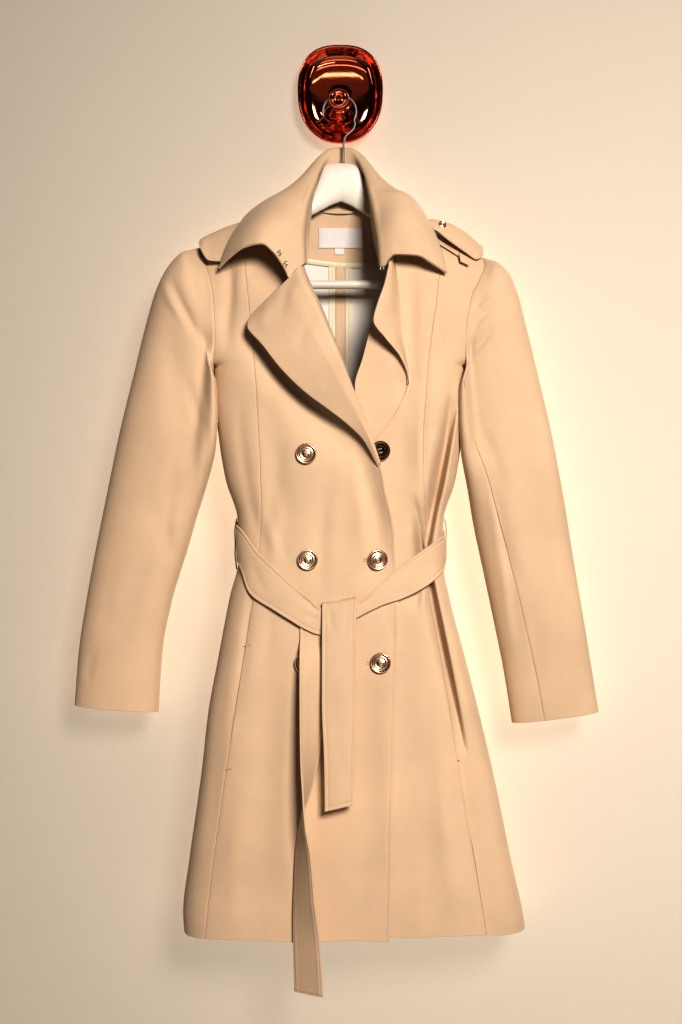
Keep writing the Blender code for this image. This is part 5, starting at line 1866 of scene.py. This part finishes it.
def back_strips():
    """The centre back seam's allowances, tan with cream bindings."""
    strips = (
        ("back_seam_allowance", -7.4, 5.8, 0.4, cloth_look, "coat_cloth"),
        ("back_seam_binding_right", -16.8, -7.8, 0.5, binding_look, "label_cloth"),
        ("back_seam_binding_left", 6.1, 14.0, 0.5, binding_look, "label_cloth"),
    )
    share, down = row_of(0, 1, 8), column_of(0, 1, 140)
    for name, left, right, off, look, slot in strips:
        x = left * (1 - share) + right * share
        top = FACING_LOW.at("z", x) + STRIP_UNDER_FACING
        z = top + (HEM_LEFT + STRIP_ABOVE_HEM - top) * down
        grid = stacked(x, surface(x, z, "back") - CLOTH - (off + STRIP), z)
        strip = Cloth(name, grid, STRIP, inward=0.0, looks=(look, look))
        place(strip.object, slot)
        if "binding" in name:
            zigzag.append((strip.outer[:, 4], strip.ways[:, 4]))


def label(name, size):
    left, right, top, low = size
    x = row_of(left, right, 30)
    z = column_of(top, low, 16)
    y = surface(x, z, "back") - CLOTH - REST - TAPE - REST
    grid = stacked(x, y, z)
    cloth = Cloth(
        name + "_cloth", grid, 0.8, inward=0.0,
        looks=(label_look, label_look),
    )
    place(cloth.object, "label_cloth", name)
    if name == "neck_label":
        for edge in ("first", "last"):
            label_sewing.append(cloth.line(edge, inside=1))


def wall_hook():
    """A mirror-bright dish that narrows downwards, with a knob in its middle."""
    outline = smooth_path(HOOK_OUTLINE, 60)
    stem = smooth_path(HOOK_STEM, 70)
    angles = np.arange(HOOK_AROUND) * 2 * math.pi / HOOK_AROUND
    wide, tall = superellipse(angles, DISH_SQUARE)
    narrow = 1 - DISH_NARROW * ((1 - tall) / 2) ** NARROW_LOW
    loops = []
    for scale, depth in outline:
        x = -1 + DISH_WIDE * wide * narrow * scale
        loops.append(np.stack([x, 0 * x + depth, DISH_TALL * tall * scale], 1))
    for radius, depth in stem:
        x = KNOB_MIDDLE[0] + radius * np.cos(angles)
        loops.append(np.stack([x, 0 * x + depth, KNOB_MIDDLE[1] + radius * np.sin(angles)], 1))
    hook = rings_mesh("wall_hook_dish", loops, (copper_look,))
    place(hook, "copper", "wall_hook")


def hanger():
    """The white hanger with its bar, and the wire that hangs on the knob."""
    size = np.concatenate([np.linspace(0, 60, 50), np.linspace(60, HANGER_HALF, 50)[1:]])
    places = np.concatenate([-size[:0:-1], size])
    angles = np.arange(44) * 2 * math.pi / 44
    a, b = superellipse(angles, HANGER_SQUARE)
    loops = []
    for x in places:
        top, low, middle, half = (HANGER.at(key, abs(x)) for key in ("top", "low", "mid", "half"))
        centre = (top + low) / 2 + HANGER_TILT * x / HANGER_HALF
        z = centre + (top - low) / 2 * b
        loops.append(np.stack([0 * a + x, middle - half * a, z], 1))
    place(rings_mesh("hanger_arms", loops, (paint_look,)), "white_paint", "hanger")
    path = stacked(np.linspace(-BAR_HALF + BAR_DOME, BAR_HALF - BAR_DOME, 60), BAR_Y, BAR_Z)
    place(rod("hanger_rod", path, BAR_RADIUS, paint_look, 32), "white_paint", "hanger_bar")
    loop_x, loop_z = LOOP_MIDDLE
    points = [
        (loop_x + LOOP_RADIUS * math.cos(turn), WIRE_DEPTH, loop_z + LOOP_RADIUS * math.sin(turn))
        for turn in np.radians(np.linspace(*LOOP_ARC, 17))
    ]
    points += [(x, WIRE_DEPTH + y, z) for x, y, z in WIRE_LOW]
    path = smooth_path(points, 150)
    place(rod("hanger_wire", path, WIRE, wire_look, 20), "wire", "hanger_hook")


def collar_hooks():
    """The small hook and eyes at the collar's ends."""
    for k, (x, y, z, turn) in enumerate(COLLAR_HOOKS):
        angle = column_of(-EYE_OPEN, EYE_OPEN, 40)
        along = np.array((math.cos(turn), 0, math.sin(turn)))
        up = np.array((-math.sin(turn), 0, math.cos(turn)))
        path = np.array((x, y, z)) + EYE_RADIUS * (np.cos(angle) * along + np.sin(angle) * up)
        wire = rod(f"collar_hook_{k + 1}", path, EYE_WIRE, steel_look, 10)
        place(wire, "wire")


class Look:
    """A material, and short ways to add its nodes."""

    def __init__(self, name, colour, rough, metal=0.0, **values):
        self.made = bpy.data.materials.new(name)
        self.made.use_nodes = True
        self.tree = self.made.node_tree
        self.shader = self.tree.nodes["Principled BSDF"]
        self.shader.inputs["Base Color"].default_value = (*colour, 1)
        self.shader.inputs["Roughness"].default_value = rough
        self.shader.inputs["Metallic"].default_value = metal
        for key, value in values.items():
            self.shader.inputs[key.replace("_", " ")].default_value = value

    def node(self, kind, **inputs):
        made = self.tree.nodes.new("ShaderNode" + kind)
        for key, value in inputs.items():
            self.put(made, key.replace("_", " "), value)
        return made

    def put(self, node, socket, value):
        target = node.inputs[socket]
        if isinstance(value, bpy.types.NodeSocket):
            self.tree.links.new(value, target)
        else:
            target.default_value = value

    def sum(self, operation, first, second=0.0, third=0.0):
        made = self.tree.nodes.new("ShaderNodeMath")
        made.operation = operation
        for place, value in enumerate((first, second, third)):
            self.put(made, place, value)
        return made.outputs[0]

    def noise(self, vector, scale, detail=3.0, rough=0.55):
        made = self.node("TexNoise", Vector=vector, Scale=scale, Detail=detail, Roughness=rough)
        return made.outputs["Factor" if "Factor" in made.outputs else "Fac"]

    def stretched(self, vector, scale, turn=0.0):
        made = self.node("Mapping", Vector=vector, Scale=scale, Rotation=(0, 0, turn))
        return made.outputs[0]

    def spread(self, value, low, high, to_low=0.0, to_high=1.0):
        made = self.node("MapRange", Value=value)
        for place, number in zip((1, 2, 3, 4), (low, high, to_low, to_high)):
            made.inputs[place].default_value = number
        return made.outputs[0]

    def blend(self, share, first, second):
        made = self.tree.nodes.new("ShaderNodeMix")
        made.data_type = "RGBA"
        self.put(made, 0, share)
        for place, value in ((6, first), (7, second)):
            self.put(made, place, value if isinstance(value, bpy.types.NodeSocket) else (*value, 1))
        return made.outputs[2]

    def bump(self, height, distance, strength=1.0, below=None):
        made = self.node("Bump", Height=height, Distance=distance, Strength=strength)
        if below is not None:
            self.put(made, "Normal", below)
        return made.outputs[0]

    def map(self):
        made = self.tree.nodes.new("ShaderNodeUVMap")
        made.uv_map = WEAVE_MAP
        return made.outputs[0]

    def space(self):
        return self.tree.nodes.new("ShaderNodeTexCoord").outputs["Object"]

    def finish(self, colour=None, normal=None, rough=None):
        for socket, value in (("Base Color", colour), ("Normal", normal), ("Roughness", rough)):
            if value is not None:
                self.put(self.shader, socket, value)
        return self.made


def lighter(colour, share):
    return tuple(min(1.0, c * share) for c in colour)


def twill(name, colour, pitch=0.0008, depth=0.00007, mottle=0.035, soft=0.1):
    """Fine diagonal twill with a faint mottle, a soft handle and slightly uneven cloth."""
    look = Look(
        name, colour, 0.82, Sheen_Weight=soft, Sheen_Roughness=0.45, Specular_IOR_Level=0.28
    )
    weave, space = look.map(), look.space()
    turned_map = look.stretched(weave, (1, 1, 1), TWILL_TURN)
    split = look.node("SeparateXYZ", Vector=turned_map)
    lines = look.sum("SINE", look.sum("MULTIPLY", split.outputs[0], 2 * math.pi / pitch))
    fibre = look.noise(look.stretched(weave, (1, 0.35, 1), TWILL_TURN), 1.1 / pitch, 2.0)
    cross = look.sum("SINE", look.sum("MULTIPLY", split.outputs[1], 2 * math.pi / (pitch * 1.7)))
    ridge = look.sum("MULTIPLY_ADD", lines, 0.32, look.sum("MULTIPLY_ADD", cross, 0.1, fibre))
    cloud = look.noise(space, 9.0, 4.0, 0.6)
    fleck = look.noise(weave, 420.0, 2.0)
    dark, light = lighter(colour, 1 - mottle * 2.2), lighter(colour, 1 + mottle * 1.6)
    tone = look.blend(look.spread(cloud, 0.3, 0.7), dark, light)
    tone = look.blend(look.spread(fleck, 0.35, 0.75, 0.0, 0.16), tone, lighter(colour, 1.16))
    tone = look.blend(look.spread(ridge, -0.1, 1.2, 0.14, 0.0), tone, lighter(colour, 0.72))
    crumple = look.noise(space, 26.0, 3.0, 0.5)
    normal = look.bump(crumple, 0.0011, 0.35)
    normal = look.bump(ridge, depth, 0.7, normal)
    rough = look.spread(cloud, 0.3, 0.7, 0.78, 0.9)
    return look.finish(tone, normal, rough)


def tape(name, colour, pitch=0.0007):
    """Plain woven tape, for bindings and the bare label."""
    look = Look(name, colour, 0.6, Sheen_Weight=0.15, Specular_IOR_Level=0.35)
    split = look.node("SeparateXYZ", Vector=look.map())
    over = look.sum("SINE", look.sum("MULTIPLY", split.outputs[0], 2 * math.pi / pitch))
    under = look.sum("SINE", look.sum("MULTIPLY", split.outputs[1], 2 * math.pi / pitch))
    weave = look.sum("MULTIPLY", over, under)
    cloud = look.noise(look.space(), 40.0)
    tone = look.blend(look.spread(cloud, 0.3, 0.7), lighter(colour, 0.93), lighter(colour, 1.03))
    return look.finish(tone, look.bump(weave, 0.00008, 0.6))


def thread(name, colour):
    """Twisted sewing thread."""
    look = Look(name, colour, 0.55, Sheen_Weight=0.2)
    grain = look.noise(look.space(), 1500.0, 2.0)
    tone = look.blend(look.spread(grain, 0.3, 0.7), lighter(colour, 0.82), lighter(colour, 1.1))
    return look.finish(tone, look.bump(grain, 0.0001, 0.5))


def polished(name, colour, rough, marks=0.00002, dull=0.1, scale=220.0):
    """Bright metal with faint scratches and fingerprints."""
    look = Look(name, colour, rough, metal=1.0)
    space = look.space()
    scratch = look.noise(look.stretched(space, (1, 1, 0.12), 0.4), scale, 3.0)
    smear = look.noise(space, 30.0, 4.0, 0.6)
    tone = look.blend(look.spread(smear, 0.35, 0.75), colour, lighter(colour, 0.88))
    uneven = look.spread(smear, 0.45, 0.75, rough, rough + dull)
    return look.finish(tone, look.bump(scratch, marks, 0.4), uneven)


def painted(name, colour):
    """Satin paint over wood, with a faint grain along it."""
    look = Look(name, colour, 0.42, Coat_Weight=0.12, Coat_Roughness=0.25)
    space = look.space()
    grain = look.noise(look.stretched(space, (0.25, 1, 1)), 160.0, 4.0)
    cloud = look.noise(space, 22.0)
    tone = look.blend(look.spread(cloud, 0.3, 0.7), lighter(colour, 0.955), lighter(colour, 1.01))
    return look.finish(tone, look.bump(grain, 0.0003, 0.25))


def wall_paint():
    """Matt wall paint with a faint roller texture, seen through from behind."""
    look = Look("wall_paint", WALL_COLOUR, 0.9, Specular_IOR_Level=0.15)
    space = look.space()
    roller = look.noise(space, 330.0, 3.0)
    cloud = look.noise(space, 1.6, 3.0)
    tone = look.blend(cloud, lighter(WALL_COLOUR, 0.975), lighter(WALL_COLOUR, 1.02))
    made = look.finish(tone, look.bump(roller, 0.0003, 0.25))
    clear = look.node("BsdfTransparent")
    mix = look.tree.nodes.new("ShaderNodeMixShader")
    behind = look.tree.nodes.new("ShaderNodeNewGeometry").outputs["Backfacing"]
    look.tree.links.new(behind, mix.inputs[0])
    look.tree.links.new(look.shader.outputs[0], mix.inputs[1])
    look.tree.links.new(clear.outputs[0], mix.inputs[2])
    look.tree.links.new(mix.outputs[0], look.tree.nodes["Material Output"].inputs[0])
    return made


def stage_plane(name, corners, look):
    mesh = bpy.data.meshes.new(name)
    mesh.from_pydata(corners, [], [(0, 1, 2, 3)])
    mesh.materials.append(look)
    made = bpy.data.objects.new(name, mesh)
    bpy.context.scene.collection.objects.link(made)
    return made


def stage():
    """A plain warm wall, which is returned, and a plain pale floor."""
    wide, high, behind = 4.0, 2.2, 0.0006
    wall = stage_plane(
        "wall",
        [(-wide, behind, FLOOR), (wide, behind, FLOOR), (wide, behind, high), (-wide, behind, high)],
        wall_paint(),
    )
    floor = Look("floor_paint", FLOOR_COLOUR, 0.8)
    grain = floor.noise(floor.space(), 40.0)
    tone = floor.blend(grain, lighter(FLOOR_COLOUR, 0.97), FLOOR_COLOUR)
    stage_plane(
        "floor",
        [(-wide, -5.0, FLOOR), (wide, -5.0, FLOOR), (wide, 3.0, FLOOR), (-wide, 3.0, FLOOR)],
        floor.finish(tone),
    )
    return wall


def soft_light(name, spot, target, size, power, colour):
    data = bpy.data.lights.new(name, "AREA")
    data.shape = "RECTANGLE"
    data.size, data.size_y = size
    data.energy = power
    data.color = colour
    made = bpy.data.objects.new(name, data)
    made.location = spot
    way = np.asarray(target, float) - np.asarray(spot, float)
    made.rotation_mode = "QUATERNION"
    made.rotation_quaternion = Vector(way).to_track_quat("-Z", "Y")
    bpy.context.scene.collection.objects.link(made)
    return made


def linked(name, pieces, state="INCLUDE"):
    """A collection that tells a light to take or to leave out these pieces alone."""
    made = bpy.data.collections.new(name)
    for piece in pieces:
        made.objects.link(piece)
    for entry in made.collection_objects:
        entry.light_linking.link_state = state
    return made


def lights(wall):
    takes = {
        "wall": linked("wall_lit", [wall]),
        "coat": linked("coat_lit", [wall, *(bpy.data.objects[name] for name in OWN_LIGHT)], "EXCLUDE"),
        "buttons": linked("buttons_lit", bright),
        "hook": linked("hook_lit", [bpy.data.objects["wall_hook_dish"]]),
    }
    for name, spot, target, size, power, colour, lit, shadow in LIGHTS:
        light = soft_light(name, spot, target, size, power, colour)
        light.light_linking.receiver_collection = takes[lit]
        if name == "key":
            light.data.spread = KEY_SPREAD
        if not shadow:
            light.light_linking.blocker_collection = takes["coat" if name == "back_soft" else "wall"]
    world = bpy.data.worlds.new("studio")
    world.use_nodes = True
    background = world.node_tree.nodes["Background"]
    background.inputs["Color"].default_value = (*WORLD_COLOUR, 1)
    background.inputs["Strength"].default_value = WORLD_STRENGTH
    beyond = world.node_tree.nodes.new("ShaderNodeBackground")
    beyond.inputs["Color"].default_value = (*BACKDROP_COLOUR, 1)
    beyond.inputs["Strength"].default_value = BACKDROP_STRENGTH
    seen = world.node_tree.nodes.new("ShaderNodeLightPath")
    both = world.node_tree.nodes.new("ShaderNodeMixShader")
    link = world.node_tree.links.new
    link(seen.outputs["Is Camera Ray"], both.inputs[0])
    link(background.outputs[0], both.inputs[1])
    link(beyond.outputs[0], both.inputs[2])
    link(both.outputs[0], world.node_tree.nodes["World Output"].inputs["Surface"])
    bpy.context.scene.world = world


def camera():
    data = bpy.data.cameras.new("camera")
    data.lens, data.sensor_width = LENS, SENSOR
    data.clip_end = 30
    made = bpy.data.objects.new("camera", data)
    made.location = CAMERA_PLACE
    made.rotation_euler = (math.pi / 2, 0, 0)
    bpy.context.scene.collection.objects.link(made)
    bpy.context.scene.camera = made
    bpy.context.scene.view_settings.view_transform = "Standard"
    bpy.context.scene.view_settings.gamma = CONTRAST


cloth_look = twill("coat_twill", TAN)
inside_look = twill("coat_inside", LINING_SIDE, depth=0.00005, mottle=0.03, soft=0.1)
binding_look = tape("seam_binding", BINDING)
label_look = tape("label_tape", LABEL)
thread_look = thread("thread", THREAD)
button_look = polished("old_gold", OLD_GOLD, 0.26, dull=0.12)
# The dark discs in the buttons' holes are painted shade.
hole_shade_look = polished("button_hole_painted_shade", HOLE_PAINTED_SHADE, 0.5)
copper_look = polished("copper_plate", COPPER, 0.045, marks=0.000004, dull=0.02, scale=90.0)
paint_look = painted("white_paint_satin", PAINT)
wire_look = polished("drawn_wire", STEEL, 0.45)
steel_look = polished("hook_and_eye", lighter(STEEL, 1.9), 0.2)

RELIEF = {
    "seam": seam,
    "stitched": stitched,
    "pressed": pressed,
    "plain": plain,
    "pocket_over": pocket_over,
    "pocket_under": pocket_under,
    "fold_under": fold_under,
    "fold_over": fold_over,
    "edge_roll": edge_roll,
    "sleeve_head": sleeve_head,
}

sewing, tacks, zigzag, label_sewing, bright = [], [], [], [], []
body()
sleeve(-1, "right")
sleeve(1, "left")
collar()
lapel_right()
lapel_left()
facing_left()
belt()
belt_tails()
belt_loops()
epaulettes()
buttons()
inside()
wall_hook()
hanger()
collar_hooks()
place(stitches("topstitching", sewing, thread_look), "coat_cloth")
place(
    stitches("bar_tacks", tacks, thread_look, long=2.4, pitch=0.6, slant=math.pi / 2), "coat_cloth"
)
place(stitches("binding_zigzag", zigzag, thread_look, long=3.4, pitch=2.0, slant=0.9), "coat_cloth")
place(stitches("label_stitches", label_sewing, thread_look, long=1.6, pitch=2.4), "label_cloth")

lights(stage())
camera()
